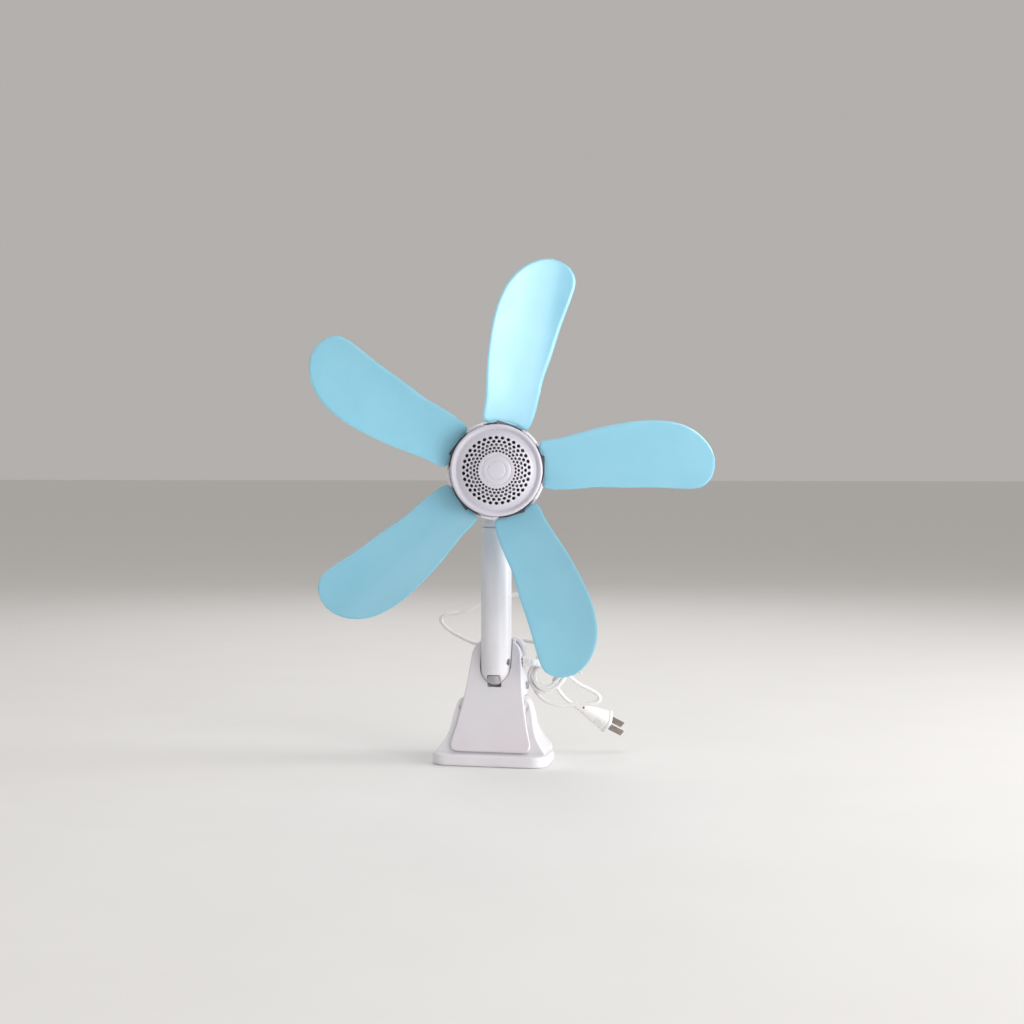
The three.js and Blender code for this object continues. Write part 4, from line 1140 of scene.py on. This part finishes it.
def neck():
    """The bent tube from the pole's top to the motor, and the stub that turns in the pole."""
    place = Matrix.Translation((0, POLE_Y, 0)) @ Matrix.Rotation(HEAD_TURN, 4, "Z")
    z, end = HUB_HEIGHT, HUB_REACH - 24
    points = [
        (0, 0, POLE_TOP + 0.3), (0, 0, POLE_TOP + 16), (0, 0, z - 27), (0, -5.5, z - 11.5), (0, -15, z - 2.6),
        (0, -22, z), (0, -end, z),
    ]
    path = spline(points, 90)
    radii = [neck_radius(p.z - POLE_TOP - 0.3, (path[-1] - p).length) for p in path]
    body = sweep("bent_neck", path, radii, 72, place)
    eased(body, 0.4, 3, 35)
    stands_for(body, "head", "white_plastic", WHITE, "neck")
    stub = lathe("neck_stub", fillet([
        (5.2, POLE_TOP - 15.5), (10.4, POLE_TOP - 15.5), (10.4, POLE_TOP - 13.3), (8.2, POLE_TOP - 13.3),
        (8.2, POLE_TOP + 4), (5.2, POLE_TOP + 4),
    ], 0.4, 2), 64, place)
    stands_for(stub, "head", "white_plastic", WHITE)


pole()
neck()

# ---------------------------------------------------------------- clip


MOULDING_ROUNDS = 12


def mouldings():
    """The clip's two shells and its plate, softened from the CAD's own shapes."""
    for node, name, body, material, slot, voxel in (
        ("front_jaw", "front_shell", "clip", WHITE, "white_plastic", 0.62),
        ("rear_jaw", "rear_shell", "clamp_jaw", WHITE, "white_plastic", 0.62),
        ("front_plate", "raised_plate", "clip", TINTED, "plate_plastic", 0.5),
    ):
        piece = softened(copy_of(node, name), voxel, MOULDING_ROUNDS)
        stands_for(piece, body, slot, material, node)


mouldings()

PIVOT_Y, PIVOT_Z = 10, 72
COIL_RADIUS = 4.6
COIL_ROUNDS = 4
COIL_PITCH = 2.5
COIL_STEPS = 16                # in each round
WIRE_RADIUS = 0.9


def jaw_spring():
    """A torsion spring coiled round the jaws' pivot with a leg at each end, built in one fixed shape in place
    of the jaw_spring node.
    """
    start = -COIL_ROUNDS * COIL_PITCH / 2
    side = PIVOT_Y + COIL_RADIUS
    points = [
        (start - 1, PIVOT_Y + 10.5, PIVOT_Z + 15), (start - 0.8, PIVOT_Y + 8.2, PIVOT_Z + 10.8),
        (start - 0.5, side + 1.2, PIVOT_Z + 6), (start - 0.2, side + 0.3, PIVOT_Z + 2.6),
    ]
    for i in range(COIL_ROUNDS * COIL_STEPS + 1):
        angle = -2 * math.pi * i / COIL_STEPS
        y, z = PIVOT_Y + COIL_RADIUS * math.cos(angle), PIVOT_Z + COIL_RADIUS * math.sin(angle)
        points.append((start + COIL_PITCH * i / COIL_STEPS, y, z))
    points += [
        (-start + 0.3, side + 0.2, PIVOT_Z - 2.4), (-start + 0.5, side - 0.6, PIVOT_Z - 5.4),
        (-start + 0.8, PIVOT_Y + 0.6, PIVOT_Z - 11), (-start + 1, PIVOT_Y - 4, PIVOT_Z - 17),
    ]
    path = spline(points, 520)
    wire = finish(sweep("spring_wire", path, [WIRE_RADIUS] * len(path), 14), STEEL)
    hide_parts("jaw_spring")
    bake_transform(wire)


jaw_spring()

NODE_FINISH = {
    "front_pad": RUBBER, "rear_pad": RUBBER, "tilt_bracket": STEEL, "tilt_pin": STEEL, "jaw_pivot_pin": STEEL,
    "knuckle_core": DARK_AND_SHADE, "core_screw": STEEL, "switch_body": DARK_AND_SHADE, "pole_lead": SLEEVE,
    "switch_rocker": ROCKER, "swivel_washer": SLEEVE, "motor_shaft": STEEL, "shaft_nut": STEEL,
    "stator_core": LAMINATED, "front_winding": COPPER, "rear_winding": COPPER, "rotor_ring": STEEL,
    "front_bearing": BRONZE, "rear_bearing": BRONZE,
}
for name, material in NODE_FINISH.items():
    eased(finish(NODES[name], material), 0.3, 2, 50)
